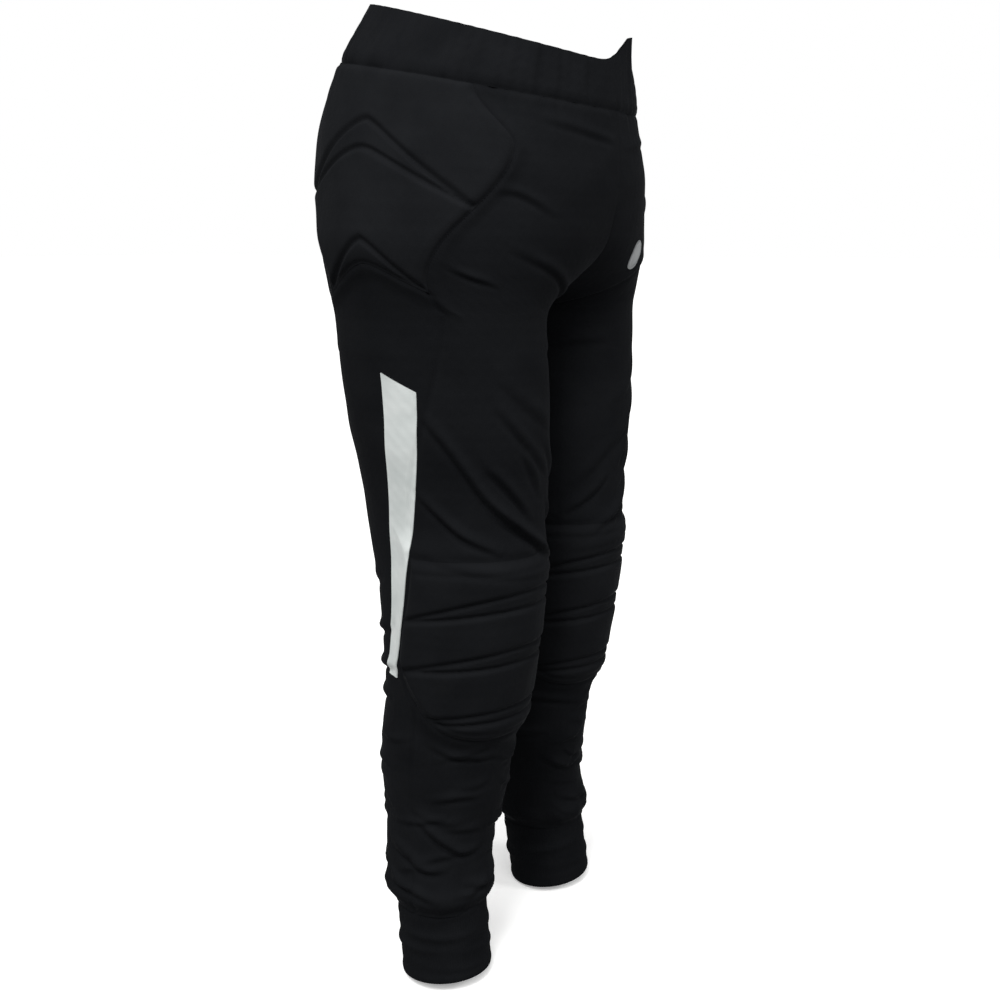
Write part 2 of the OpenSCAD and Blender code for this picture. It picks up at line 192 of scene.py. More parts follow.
def mix(a, b, t):
    return a + (b - a) * t


def ramp(t):
    t = np.clip(t, 0, 1)
    return t * t * (3 - 2 * t)


shin_from, shin_to = KNEE_DROP + 0.055, CUFF_TOP - 0.012
# drop, half width, half depth, sideways offset, backwards offset
TUBE = np.array([
    [0, WAIST_W / 2, WAIST_D / 2, 0, 0],
    [BAND_H + 0.003, SEAT_W * 0.474, SEAT_D * 0.468, 0, 0.015],
    [RISE * 0.456, SEAT_W / 2, SEAT_D / 2, 0.010, 0.019],
    [RISE * 0.702, SEAT_W * 0.469, SEAT_D * 0.475, 0.034, 0.019],
    [RISE + 0.005, THIGH_W / 2, THIGH_D / 2, THIGH_W / 2 + 0.006, 0.016],
    [RISE + 0.105, THIGH_W * 0.485, THIGH_D * 0.487, THIGH_W * 0.485 + 0.004, 0.011],
    [THIGH_DROP + 0.020, THIGH_W * 0.444, THIGH_D * 0.448, THIGH_W * 0.444 + 0.007, 0.006],
    [KNEE_DROP - 0.045, KNEE_W / 2 - 0.003, KNEE_D / 2, KNEE_W / 2 + 0.016, 0.002],
    [KNEE_DROP + 0.055, KNEE_W * 0.45, KNEE_D * 0.455, KNEE_W * 0.45 + 0.022, 0.009],
    [mix(shin_from, shin_to, 0.43), CALF_W / 2 + 0.001, CALF_W * 0.56, STANCE * 0.385, 0.021],
    [mix(shin_from, shin_to, 0.74), CALF_W * 0.434, CALF_W * 0.463, STANCE * 0.435, 0.021],
    [CUFF_TOP - 0.012, CUFF_DIA / 2 + 0.006, CUFF_DIA / 2 + 0.008, STANCE * 0.475, 0.015],
    [CUFF_TOP + 0.002, CUFF_DIA / 2 + 0.0015, CUFF_DIA / 2 + 0.0015, STANCE * 0.48, 0.013],
    [OUTSEAM, CUFF_DIA / 2, CUFF_DIA / 2, STANCE / 2, 0.003],
])
steep = np.diff(TUBE, axis=0) / np.diff(TUBE[:, :1], axis=0)
product = steep[:-1] * steep[1:]
total = np.where(product > 0, steep[:-1] + steep[1:], 1)
SLOPES = np.vstack([steep[:1], np.where(product > 0, 2 * product / total, 0), steep[-1:]])


def sizes_at(drop):
    """Half width, half depth, sideways and backwards offset of the tube at each drop."""
    drop = np.asarray(drop, float)
    i = np.clip(np.searchsorted(TUBE[:, 0], drop, side="right") - 1, 0, len(TUBE) - 2)
    h = TUBE[i + 1, 0] - TUBE[i, 0]
    t = np.clip((drop - TUBE[i, 0]) / h, 0, 1)[..., None]
    h = h[..., None]
    row = ((2 * t**3 - 3 * t**2 + 1) * TUBE[i] + (t**3 - 2 * t**2 + t) * h * SLOPES[i]
           + (3 * t**2 - 2 * t**3) * TUBE[i + 1] + (t**3 - t**2) * h * SLOPES[i + 1])
    return row[..., 1], row[..., 2], row[..., 3], row[..., 4]


def slit_at(drop):
    """Half of the space between the legs, or between the two halves of the seat."""
    return mix(0.00015, 0.002, ramp((drop - RISE + 0.040) / 0.060))


def tube_point(turn, drop):
    """A point of the right leg's tube, as an array of x, y, z."""
    a, b, side, back = sizes_at(drop)
    start = np.arccos(np.clip(side / a, -1, 1))
    angle = start + turn * (2 * math.pi - 2 * start)
    y = back - b * np.sin(angle)
    tilt = WAIST_TILT * np.clip(1 - drop / TILT_END, 0, 1) ** 1.5
    x = -np.maximum(slit_at(drop), side - a * np.cos(angle))
    return np.stack([x, y, -drop + tilt * (y - back)], -1)


def girth_at(drop):
    """Length round the leg, or round its half of the seat, at each drop."""
    a, b, side, _ = sizes_at(drop)
    share = 1 - np.arccos(np.clip(side / a, -1, 1)) / math.pi
    return math.pi * (a + b) * share


STEP_TURN, STEP_DROP = 0.002, 1.0 * MM


def facing(place, turn, drop):
    """Unit outward normals of a surface place(turn, drop), from small steps each way."""
    low, high = np.clip(turn - STEP_TURN, 0, 1), np.clip(turn + STEP_TURN, 0, 1)
    along_turn = place(high, drop) - place(low, drop)
    along_drop = place(turn, drop + STEP_DROP) - place(turn, drop - STEP_DROP)
    n = np.cross(along_turn, along_drop)
    return n / np.maximum(np.linalg.norm(n, axis=-1, keepdims=True), 1e-12)


print("thigh girth m:", round(float(girth_at(RISE + 0.02)), 3),
      "knee girth m:", round(float(girth_at(KNEE_DROP)), 3))

# %% [markdown]
# ## Seams
# The same seam lines that divide the panels also shape them: cloth dips where it is sewn. The hip
# panel's front seam swells forward at the pocket and falls to the side seam. The quilting lines
# come in pairs that part in the middle and meet at their ends, so each pair leaves a thin lens of
# cloth.

# %% Seam lines
HIP_MID, HIP_FOOT_TURN, HIP_FOOT, POCKET_DROP = 0.515, 0.41, RISE - 0.021, RISE * 0.39
SIDE_TURN, SIDE_END = 0.5, KNEE_DROP - 0.130
KNEE_TOP, KNEE_MID, KNEE_FOOT = KNEE_DROP - 0.115, 0.26, KNEE_DROP + 0.090


def hip_front(drop):
    upper = mix(0.33, 0.25, ramp((drop - BAND_H) / (POCKET_DROP - BAND_H)))
    lower = mix(0.25, HIP_FOOT_TURN, ramp((drop - POCKET_DROP) / (HIP_FOOT - POCKET_DROP)))
    return np.where(drop < POCKET_DROP, upper, lower)


def hip_rear(drop):
    return 2 * HIP_MID - hip_front(drop)


def side_seam(drop):
    return mix(HIP_FOOT_TURN, SIDE_TURN, ramp((drop - HIP_FOOT) / (SIDE_END - HIP_FOOT)))


def rounded(turn, middle, soft=0.03):
    """How far a turn is from the middle, with the point of the chevron rounded off."""
    return np.sqrt((turn - middle) ** 2 + soft ** 2) - soft


def chevron(turn, middle, peak, fall, lens, reach):
    """The two lines of one chevron, which meet reach away from its middle."""
    low = peak + rounded(turn, middle) * fall
    gap = lens * np.clip(1 - np.abs(turn - middle) / reach, 0, 1) ** 0.8
    return low - gap, low


def hip_line_1(turn):
    return chevron(turn, 0.528, RISE * 0.44, 0.270, 0.025, 0.20)


def hip_line_2(turn):
    return chevron(turn, HIP_MID, RISE * 0.81, 0.350, 0.022, 0.105)


def knee_line(turn, drop, dip, lens):
    """A pair of quilting lines over the knee, which part at the front and meet at the sides."""
    low = drop + dip * ((turn - KNEE_MID) / KNEE_MID) ** 2
    gap = lens * np.clip(1 - ((turn - KNEE_MID) / KNEE_MID) ** 2, 0, 1)
    return low - gap, low


def knee_side(drop):
    """The knee panel's side edge runs back under the tape."""
    return mix(0.502, 0.545, ramp((drop - KNEE_TOP) / 0.13))


def knee_foot(turn):
    return KNEE_FOOT - 0.055 * np.abs((turn - KNEE_MID) / KNEE_MID) ** 4


KNEE_LINES = [lambda u: knee_line(u, KNEE_TOP + 0.054, 0.016, 0.017),
              lambda u: knee_line(u, KNEE_DROP + 0.000, 0.012, 0.016),
              lambda u: knee_line(u, KNEE_DROP + 0.066, 0.004, 0.012)]
print("hip panel foot m:", HIP_FOOT, "knee panel m:", round(KNEE_TOP, 3), "to", round(KNEE_FOOT, 3))


# %% Distance to a seam
def to_edge(turn, drop, edge, girth):
    """Distance in metres from each place to an edge given as a turn for each drop."""
    slope = (edge(drop + 0.002) - edge(drop - 0.002)) / 0.004
    return np.abs(turn - edge(drop)) * girth / np.sqrt(1 + (slope * girth) ** 2)

# %% [markdown]
# ## Folds
# Cloth folds where it has more length than the body under it: in diagonals above the bent knee,
# in rings down the shin, and in creases at the groin. Each fold here is a ridge along a short
# curve over the tube, with a narrow valley on its lower side, which is how a soft knit buckles. A
# fold can be sculpted by hand or simulated. Curves are used, so that the folds lie where they do
# on the real leg.


# %% A smooth curve through a few places
def smooth_curve(places, count=14):
    """Catmull-Rom points through a list of (turn, drop) places."""
    p = np.array(places, float)
    p = np.vstack([2 * p[0] - p[1], p, 2 * p[-1] - p[-2]])
    spans = len(p) - 3
    t = np.linspace(0, spans, count)
    i = np.minimum(t.astype(int), spans - 1)
    f = (t - i)[:, None]
    a, b, c, d = p[i], p[i + 1], p[i + 2], p[i + 3]
    return 0.5 * (2 * b + (c - a) * f + (2 * a - 5 * b + 4 * c - d) * f**2
                  + (3 * b - a - 3 * c + d) * f**3)


# %% One fold
# The valley's depth is a share of the ridge's height. The lengths are in fold widths.
VALLEY_DEEP, VALLEY_AT, VALLEY_WIDE, FOLD_REACH = 0.8, 1.3, 0.6, 4


def fold_height(turn, drop, places, high, wide):
    """Height of one fold over each place: a ridge, its lower valley, and ends that fade out."""
    line = smooth_curve(places)
    girth = float(girth_at(line[:, 1].mean()))
    x, y = turn * girth, drop
    px, py = line[:, 0] * girth, line[:, 1]
    height = np.zeros(np.shape(turn))
    reach = FOLD_REACH * wide
    near = ((x > px.min() - reach) & (x < px.max() + reach)
            & (y > py.min() - reach) & (y < py.max() + reach))
    if not near.any():
        return height
    x, y = x[near], y[near]
    best = np.full(x.shape, 1e9)
    below = np.zeros(x.shape)
    along = np.zeros(x.shape)
    run = len(px) - 1
    for k in range(run):
        dx, dy = px[k + 1] - px[k], py[k + 1] - py[k]
        size = math.hypot(dx, dy) + 1e-9
        f = np.clip(((x - px[k]) * dx + (y - py[k]) * dy) / size**2, 0, 1)
        ox, oy = x - px[k] - f * dx, y - py[k] - f * dy
        d = np.hypot(ox, oy)
        closer = d < best
        best = np.where(closer, d, best)
        across = (dx * (y - py[k]) - dy * (x - px[k])) / size
        below = np.where(closer, d * np.sign(across) * (1 if px[-1] > px[0] else -1), below)
        along = np.where(closer, (k + f) / run, along)
    fade = np.clip(np.sin(math.pi * np.clip(along, 0.02, 0.98)), 0, 1) ** 0.6
    valley = np.exp(-((below - VALLEY_AT * wide) / (VALLEY_WIDE * wide)) ** 2)
    ridge = np.exp(-(below / wide) ** 2) - VALLEY_DEEP * valley
    height[near] = high * fade * ridge
    return height


# %% [markdown]
# ## Where the folds are
# Each row is a curve over the leg, then the fold's height and width in millimetres. The first
# turn of a curve is nearer the inseam. The same folds serve both legs: the left leg takes them
# with a small shift, because no two legs crease alike.

# %% The folds of a leg
FOLDS = [
    # diagonals from the side seam down across the front of the thigh to the knee
    ([(0.18, .537), (0.271, .507), (0.343, .476), (0.376, .454), (0.415, .412), (0.449, .381)],
     4.9, 8),
    ([(0.343, .519), (0.405, .502), (0.442, .482), (0.472, .462)], 4.1, 7),
    ([(0.278, .486), (0.32, .456), (0.361, .429)], 3.5, 8),
    ([(0.249, .462), (0.29, .416)], 2.6, 9),
    ([(0.20, .395), (0.27, .372), (0.33, .340)], 1.7, 12),
    ([(0.12, .470), (0.18, .440), (0.23, .405)], 2.0, 11),
    ([(0.15, .546), (0.22, .528), (0.30, .500), (0.36, .474)], 3.6, 8),
    ([(0.22, .444), (0.29, .404), (0.34, .368)], 2.4, 9),
    ([(0.13, .556), (0.24, .549), (0.36, .541), (0.46, .528)], 3.2, 7),
    ([(0.10, .520), (0.16, .500), (0.21, .474)], 2.6, 8),
    # a sag of the front under the waistband
    ([(0.01, .088), (0.10, .080), (0.20, .074)], 1.8, 8),
    # creases where the thigh meets the trunk
    ([(0.166, .177), (0.219, .160), (0.248, .155), (0.276, .156)], 2.2, 7),
    ([(0.03, .286), (0.09, .262), (0.16, .236), (0.24, .215)], 2.6, 9),
    ([(0.29, .250), (0.325, .243), (0.358, .234)], 1.9, 6),
    ([(0.05, .330), (0.12, .318), (0.20, .315)], 2.2, 10),
    # rings under the knee pad and down the shin
    ([(0.30, .757), (0.337, .757), (0.403, .753), (0.46, .742)], 2.6, 6),
    ([(0.10, .758), (0.17, .765), (0.24, .772)], 2.2, 7),
    ([(0.335, .804), (0.381, .803), (0.453, .809)], 2.5, 7),
    ([(0.293, .870), (0.344, .871), (0.414, .855), (0.476, .834)], 4.1, 7),
    ([(0.394, .889), (0.451, .890), (0.514, .879), (0.58, .872)], 4.1, 7),
    ([(0.12, .835), (0.19, .850), (0.27, .846)], 2.9, 8),
    ([(0.15, .905), (0.24, .915), (0.33, .908)], 3.5, 7),
    ([(0.42, .923), (0.50, .915), (0.60, .912)], 3.5, 7),
    # behind the knee, and down the calf
    ([(0.58, .612), (0.68, .628), (0.78, .626), (0.88, .610)], 4.3, 9),
    ([(0.56, .655), (0.66, .668), (0.76, .668), (0.90, .652)], 4.9, 9),
    ([(0.60, .700), (0.70, .705), (0.82, .698)], 3.8, 9),
    ([(0.62, .560), (0.72, .574), (0.84, .566)], 2.6, 11),
    ([(0.66, .760), (0.76, .772), (0.88, .766)], 2.3, 10),
    ([(0.62, .842), (0.74, .856), (0.86, .850)], 3.2, 9),
    ([(0.70, .900), (0.80, .908), (0.92, .900)], 3.8, 8),
    # under the seat
    ([(0.66, .318), (0.76, .330), (0.88, .322), (0.96, .300)], 3.5, 10),
    ([(0.70, .262), (0.80, .272), (0.92, .262)], 2.3, 12),
    ([(0.70, .372), (0.79, .384), (0.88, .378)], 1.7, 13),
]


# %% Fine creases
FINE_CREASES, FOLD_SHARPEN = 44, 0.72


def fine_creases():
    """Short shallow creases down the shin and calf, where the cloth is loose on the leg."""
    made = []
    for _ in range(FINE_CREASES):
        turn, drop = rng.uniform(0.05, 0.92), rng.uniform(0.725, 0.925)
        half, slant = rng.uniform(0.035, 0.075), rng.uniform(-0.012, 0.012)
        sag = rng.uniform(-0.004, 0.006)
        line = [(turn - half, drop - slant), (turn, drop + sag), (turn + half, drop + slant)]
        made.append((line, rng.uniform(1.0, 2.0), rng.uniform(5, 7.5)))
    return made


FOLDS += fine_creases()


# %% All folds together
def folds(turn, drop, leg):
    """Height in metres of all the folds of one leg, 0 for the right and 1 for the left."""
    height = np.zeros(np.shape(turn))
    for k, (places, high, wide) in enumerate(FOLDS):
        shift = leg * np.array([0.012 * math.sin(5.1 * k + 1), 0.007 * math.sin(3.7 * k + 2)])
        grow = 1 + 0.25 * leg * math.sin(2.3 * k)
        height += fold_height(turn, drop, np.array(places) + shift, high * grow * MM,
                              wide * FOLD_SHARPEN * MM)
    return height


# Each wave is its rate round the leg, its rate down the leg, and its share of the height.
WAVES = ((61, 22, .5), (34, -47, .45), (90, 60, .22), (-70, 95, .2), (15, 130, .18), (140, 20, .12))
CRUMPLE, USUAL_GIRTH = 0.8 * MM, 0.5


def crumple(turn, drop, leg):
    """Soft unevenness of worn cloth, from a few long waves, within about a millimetre."""
    x, y = turn * USUAL_GIRTH, drop
    return CRUMPLE * sum(a * np.sin(p * x + q * y + 1.7 * n + 2.1 * leg)
                         for n, (p, q, a) in enumerate(WAVES))


print("folds on each leg:", len(FOLDS))

# %% [markdown]
# ## The relief of a leg
# One function gives how far the outer cloth stands off the tube at every place. Cloth dips at
# each seam. Over foam it rises steeply from a sewn line and then levels out, which is a quarter
# circle in section. Under the waistband it is gathered, and over the cuff it blouses.

# %% Sewn lines and edges
SEAM_DIP, SEAM_WIDE = 1.4 * MM, 3.0 * MM


def dip(distance, deep=SEAM_DIP, wide=SEAM_WIDE):
    return -deep * np.exp(-(distance / wide) ** 2)


def to_drop(turn, drop, line, girth):
    """Signed distance in metres above a line given as a drop for each turn."""
    slope = (line(turn + 0.005) - line(turn - 0.005)) / 0.01
    return (line(turn) - drop) / np.sqrt(1 + (slope / girth) ** 2)


# %% How far inside each padded panel a place lies
def inside_hip(turn, drop):
    """Distance in metres from the hip panel's edge, negative outside it."""
    girth = girth_at(drop)
    d = np.minimum((turn - hip_front(drop)) * girth, (hip_rear(drop) - turn) * girth)
    foot = to_drop(turn, drop, lambda u: hip_line_2(u)[1], girth)
    return np.minimum(d, np.minimum(drop - BAND_H, foot))


KNEE_TOP_SOFT = 0.6


def inside_knee(turn, drop):
    """Distance in metres from the knee panel's edge, negative outside it.

    Its top edge counts for less, so the cloth rises over it more gently.
    """
    girth = girth_at(drop)
    d = np.minimum((knee_side(drop) - turn) * girth, (drop - KNEE_TOP) * KNEE_TOP_SOFT)
    return np.minimum(d, to_drop(turn, drop, knee_foot, girth))


# %% The swell of the foam
SPREAD_OUT, SPREAD_IN = 20 * MM, 14 * MM


def swell(distance, full):
    """Height of cloth drawn over a foam edge: it starts outside the edge and is full inside it."""
    return full * ramp((distance + SPREAD_OUT) / (SPREAD_OUT + SPREAD_IN))


def knee_thin(turn):
    """The knee foam thins out towards the inseam, so that the legs don't rub."""
    return ramp(turn / 0.18) * (turn < 0.75)


def foam_height(turn, drop):
    """Height of the surface over the foam, with no stitching."""
    return (swell(inside_hip(turn, drop), HIP_PAD)
            + swell(inside_knee(turn, drop), KNEE_PAD) * knee_thin(turn))


# %% Quilting
HIP_GROOVE, HIP_GROOVE_WIDE = 3.7 * MM, 3.2 * MM
KNEE_GROOVE, KNEE_GROOVE_WIDE = 3.7 * MM, 2.7 * MM
LENS_SINK, QUILT_FROM = 0.30, 4 * MM
# One more row of stitches runs inside the knee pad's foot, and one inside its top.
FOOT_ROW, FOOT_ROW_DIP, TOP_ROW, TOP_ROW_DIP = 9 * MM, 1.6 * MM, 14 * MM, 0.9 * MM


def groove(above, below, deep, wide):
    """A pair of sewn lines: each a groove, with the strip of cloth between them a little sunk."""
    between_lines = (above < 0) & (below > 0)
    lines = np.maximum(np.exp(-(above / wide) ** 2), np.exp(-(below / wide) ** 2))
    return -deep * np.maximum(lines, LENS_SINK * between_lines)


def quilting(turn, drop):
    """Depth of all the quilted pairs of lines of both panels."""
    girth = girth_at(drop)
    h = np.zeros(np.shape(turn))
    on_hip = ramp(inside_hip(turn, drop) / QUILT_FROM)
    on_knee = ramp(inside_knee(turn, drop) / QUILT_FROM)
    for line in (hip_line_1, hip_line_2):
        above = to_drop(turn, drop, lambda u: line(u)[0], girth)
        below = to_drop(turn, drop, lambda u: line(u)[1], girth)
        h = h + groove(above, below, HIP_GROOVE, HIP_GROOVE_WIDE) * on_hip
    for line in KNEE_LINES:
        above = to_drop(turn, drop, lambda u: line(u)[0], girth)
        below = to_drop(turn, drop, lambda u: line(u)[1], girth)
        h = h + groove(above, below, KNEE_GROOVE, KNEE_GROOVE_WIDE) * on_knee * ramp(turn / 0.1)
    inner = to_drop(turn, drop, lambda u: knee_foot(u) - FOOT_ROW, girth)
    top = np.abs(drop - KNEE_TOP - TOP_ROW)
    front = ramp((turn - 0.03) / 0.06)
    return h + on_knee * front * (dip(np.abs(inner), FOOT_ROW_DIP) + dip(top, TOP_ROW_DIP))


# %% Seams, gathers and the blouse over the cuff
HIP_DIP, KNEE_DIP, SIDE_DIP = 2.2 * MM, 2.4 * MM, 1.6 * MM
GATHER_HIGH, GATHER_LONG = 0.45 * MM, 0.020
BLOUSE_HIGH, BLOUSE_AT, BLOUSE_LONG = 3.4 * MM, CUFF_TOP - 0.015, 0.012


def seams(turn, drop, leg):
    """Dips along the seams, gathers under the waistband, and the blouse above the cuff."""
    girth, round_leg = girth_at(drop), turn * 2 * math.pi
    h = dip(np.abs(drop - BAND_H))
    h = (h + dip(np.abs(inside_hip(turn, drop)), HIP_DIP)
         + dip(np.abs(inside_knee(turn, drop)), KNEE_DIP))
    on_side = (drop > HIP_FOOT - 0.005) * (1 - ramp(inside_knee(turn, drop) / QUILT_FROM))
    h = h + on_side * dip(to_edge(turn, drop, side_seam, girth), SIDE_DIP)
    gather = np.exp(-np.clip(drop - BAND_H, 0, 1) / GATHER_LONG)
    h = h + GATHER_HIGH * gather * (np.sin(round_leg * 24 + 1.5 * np.sin(turn * 37))
                                    + 0.5 * np.sin(round_leg * 41 + leg))
    blouse = np.exp(-((drop - BLOUSE_AT) / BLOUSE_LONG) ** 2)
    return h + blouse * (BLOUSE_HIGH + 1.2 * MM * np.sin(round_leg * 5 + leg + 1)
                         + 0.6 * MM * np.sin(round_leg * 13 + 2 * leg))


# %% Everything together
# Foam takes three quarters of a fold's height away, and so does the inseam.
PAD_FROM, PAD_STIFF, INSEAM_SHARE, INSEAM_WIDE = 6 * MM, 0.75, 0.25, 0.035


def relief(turn, drop, leg):
    """How far the outer cloth of one leg stands off the tube, in metres."""
    inside = np.maximum(inside_hip(turn, drop), inside_knee(turn, drop) * (turn > 0.06))
    padded = ramp(inside / PAD_FROM)
    h = (seams(turn, drop, leg) + crumple(turn, drop, leg)
         + folds(turn, drop, leg) * (1 - PAD_STIFF * padded))
    h = h * mix(INSEAM_SHARE, 1, ramp(np.minimum(turn, 1 - turn) / INSEAM_WIDE))
    return h + foam_height(turn, drop) + quilting(turn, drop)


def skin(turn, drop, leg, height):
    """Points of one leg's cloth that stands height off the tube. The left leg is mirrored."""
    tube = tube_point(turn, drop)
    out = facing(tube_point, turn, drop)
    p = tube + out * height[..., None]
    p[..., 0] = np.minimum(p[..., 0], -slit_at(drop))
    if leg:
        p[..., 0] *= -1
    return p


over_foam = foam_height(np.array([0.5]), np.array([0.19]))[0]
print("cloth over the hip foam stands mm:", round(float(over_foam / MM), 1))

# %% [markdown]
# ## Making a cloth piece
# A piece of cloth is a grid of places on the leg, with an outer face, an inner face one thickness
# below it, and a rim that joins them, so it is a closed solid that could be printed. The grid is
# made one row larger than the piece on every side. Smooth normals are taken from that larger
# grid, so two pieces that meet along a plain join shade as one cloth.

# %% A grid of places
def grid_places(left, right, top, foot, across, down):
    """Turns and drops of a grid between side and end edges, one row larger all round."""
    s = np.arange(-1, across + 2)[None, :] / across
    t = np.arange(-1, down + 2)[:, None] / down
    s, t = np.broadcast_arrays(s, t)
    turn = np.full(s.shape, 0.3)
    for _ in range(6):
        drop = mix(top(turn), foot(turn), t)
        turn = np.clip(mix(left(drop), right(drop), s), 0, 1)
    return turn, mix(top(turn), foot(turn), t)


# %% Grid normals
def grid_normals(points, leg):
    """Unit outward normals at the inner points of a grid of points."""
    dt = points[1:-1, 2:] - points[1:-1, :-2]
    dd = points[2:, 1:-1] - points[:-2, 1:-1]
    n = np.cross(dt, -dd) if leg else np.cross(dt, dd)
    n = n / np.maximum(np.linalg.norm(n, axis=-1, keepdims=True), 1e-12)
    return n


# %% A closed cloth mesh from two grids
def shell(name, outer, inner, normals, uv, material, leg=0, looped=False):
    """A closed mesh between two grids of points, with smooth faces and the given outer normals.

    A looped grid closes on itself sideways, and its uv has one column more.
    """
    rows, cols = outer.shape[:2]
    n = rows * cols
    at = np.arange(n).reshape(rows, cols)
    uv_at = np.arange(uv.shape[0] * uv.shape[1]).reshape(uv.shape[:2])
    if looped:
        at = np.hstack([at, at[:, :1]])

    def corners(index):
        around = [index[:-1, :-1], index[1:, :-1], index[1:, 1:], index[:-1, 1:]]
        return np.stack(around, -1).reshape(-1, 4)

    def ends(index):
        if looped:
            return np.concatenate([np.stack([index[0, :-1], index[0, 1:]], -1),
                                   np.stack([index[-1, 1:], index[-1, :-1]], -1)])
        ring = np.concatenate([index[0, :-1], index[:-1, -1], index[-1, :0:-1], index[:0:-1, 0]])
        return np.stack([ring, np.roll(ring, -1)], -1)

    quads, edge = corners(at), ends(at)
    uv_quads, uv_edge = corners(uv_at), ends(uv_at)
    inside = quads[:, ::-1] + n
    rim = np.concatenate([edge, edge[:, ::-1] + n], -1)
    uv_rim = np.concatenate([uv_edge, uv_edge[:, ::-1]], -1)
    faces = np.concatenate([quads, inside, rim])
    uv_faces = np.concatenate([uv_quads, uv_quads[:, ::-1], uv_rim])
    if not leg:
        faces, uv_faces = faces[:, ::-1], uv_faces[:, ::-1]
    points = np.concatenate([outer.reshape(-1, 3), inner.reshape(-1, 3)])
    mesh = bpy.data.meshes.new(name)
    mesh.vertices.add(len(points))
    mesh.vertices.foreach_set("co", points.astype(np.float32).ravel())
    mesh.loops.add(faces.size)
    mesh.loops.foreach_set("vertex_index", faces.ravel().astype(np.int32))
    mesh.polygons.add(len(faces))
    mesh.polygons.foreach_set("loop_start", np.arange(0, faces.size, 4, dtype=np.int32))
    mesh.polygons.foreach_set("use_smooth", np.ones(len(faces), bool))
    mesh.update(calc_edges=True)
    layer = mesh.uv_layers.new(name="cloth_metres")
    layer.data.foreach_set("uv", uv.reshape(-1, 2)[uv_faces.ravel()].astype(np.float32).ravel())
    side = np.concatenate([normals.reshape(-1, 3), -normals.reshape(-1, 3)])
    loop_normals = side[faces.ravel()].copy()
    first_rim = (len(quads) + len(inside)) * 4
    middle = (outer - inner).reshape(-1, 3)
    loop_normals[first_rim:] = np.concatenate([middle, middle])[faces.ravel()[first_rim:]]
    loop_normals /= np.maximum(np.linalg.norm(loop_normals, axis=1, keepdims=True), 1e-12)
    mesh.validate()
    mesh.normals_split_custom_set(loop_normals.tolist())
    mesh.materials.append(material)
    piece = bpy.data.objects.new(name, mesh)
    bpy.context.scene.collection.objects.link(piece)
    return piece


# %% A piece of one leg
def cloth_piece(name, leg, edges, spacing, height, material, thick=CLOTH, base=None, shape=None):
    """A piece of one leg between four edges, with points about spacing metres apart.

    height gives its outer face, and its inner face lies thick below that, or where base says.
    shape, if given, moves the outer points, and the inner ones follow.
    """
    left, right, top, foot = edges
    span_turn, span_drop = grid_places(left, right, top, foot, 30, 30)
    size = tube_point(span_turn[1:-1, 1:-1], span_drop[1:-1, 1:-1])
    wide = np.linalg.norm(np.diff(size, axis=1), axis=-1).sum(1).max()
    long = np.linalg.norm(np.diff(size, axis=0), axis=-1).sum(0).max()
    across, down = max(4, round(wide / spacing)), max(4, round(long / spacing))
    turn, drop = grid_places(left, right, top, foot, across, down)
    h = height(turn, drop)
    outer = skin(turn, drop, leg, h)
    inner = skin(turn, drop, leg, h - thick if base is None else base(turn, drop))[1:-1, 1:-1]
    if shape:
        moved = outer.copy()
        moved[1:-1, 1:-1] = shape(outer[1:-1, 1:-1], turn[1:-1, 1:-1], drop[1:-1, 1:-1])
        inner = inner + moved[1:-1, 1:-1] - outer[1:-1, 1:-1]
        outer = moved
    normals = grid_normals(outer, leg)
    outer = outer[1:-1, 1:-1]
    uv = np.stack([turn * 0.5, -drop], -1)[1:-1, 1:-1]
    piece = shell(name, outer, inner, normals, uv, material, leg)
    a, b = outer[1:, 1:] - outer[:-1, :-1], outer[1:, :-1] - outer[:-1, 1:]
    piece["outer_area"] = float(np.linalg.norm(np.cross(a, b), axis=-1).sum() / 2)
    piece["cut"] = (float(wide), float(long))
    return piece


# %% Saying what a sheet was cut from
def as_sheet(piece, ease=1.0):
    """Prints the size a cloth piece was cut to, from its greatest width and length, and its area.
    """
    wide, long = piece["cut"]
    area = piece["outer_area"] * ease
    wide, long = max(wide, 0.011), max(long, 0.011)
    if area > wide * long:
        grow = math.sqrt(area / (wide * long)) * 1.0005
        wide, long = wide * grow, long * grow
    print(f"  {piece.name}: cut {wide * 1000:.0f} x {long * 1000:.0f} mm, {area:.4f} m2")

# %% [markdown]
# ## Brushed polyester jersey
# The body cloth is a warp-knitted polyester with its face brushed. To the eye it is nearly black,
# and very matt: the raised fibres catch a little light at grazing angles, which is sheen. The
# loops of the knit are about 1.6 mm across, which is finer than a render can show, so they are
# drawn six times coarser, about 10 mm apart. They are shallow, and only break up the light. Broad
# mottling makes the cloth less even, as washing and handling do.


# %% Starting a finish, and colouring it
def new_finish(name):
    """A new material, its node tree, and its shader."""
    made = bpy.data.materials.new(name)
    made.use_nodes = True
    return made, made.node_tree, made.node_tree.nodes["Principled BSDF"]


def two_tone(tree, amount, dark, light, dark_at, light_at):
    """Colours a finish between dark and light by a pattern's amount."""
    ramp_node = add(tree, "ShaderNodeValToRGB", {"Fac": amount})
    low, high = ramp_node.color_ramp.elements
    low.position, high.position = dark_at, light_at
    low.color, high.color = colour(dark), colour(light)
    tree.links.new(ramp_node.outputs["Color"], tree.nodes["Principled BSDF"].inputs["Base Color"])


# %% How far apart bands are drawn
COARSER = 2 * math.pi


def band_scale(apart_mm):
    """The scale of a wave texture whose bands, drawn COARSER than life, stand for apart_mm."""
    # A wave texture of scale 1 has a band for every 2 pi / 20 of its distance.
    return 2 * math.pi / 20 / (apart_mm * COARSER * MM)


# %% A knitted cloth finish
LOOP_DEEP, LOOP_TALLER = 0.25 * MM, 1.3


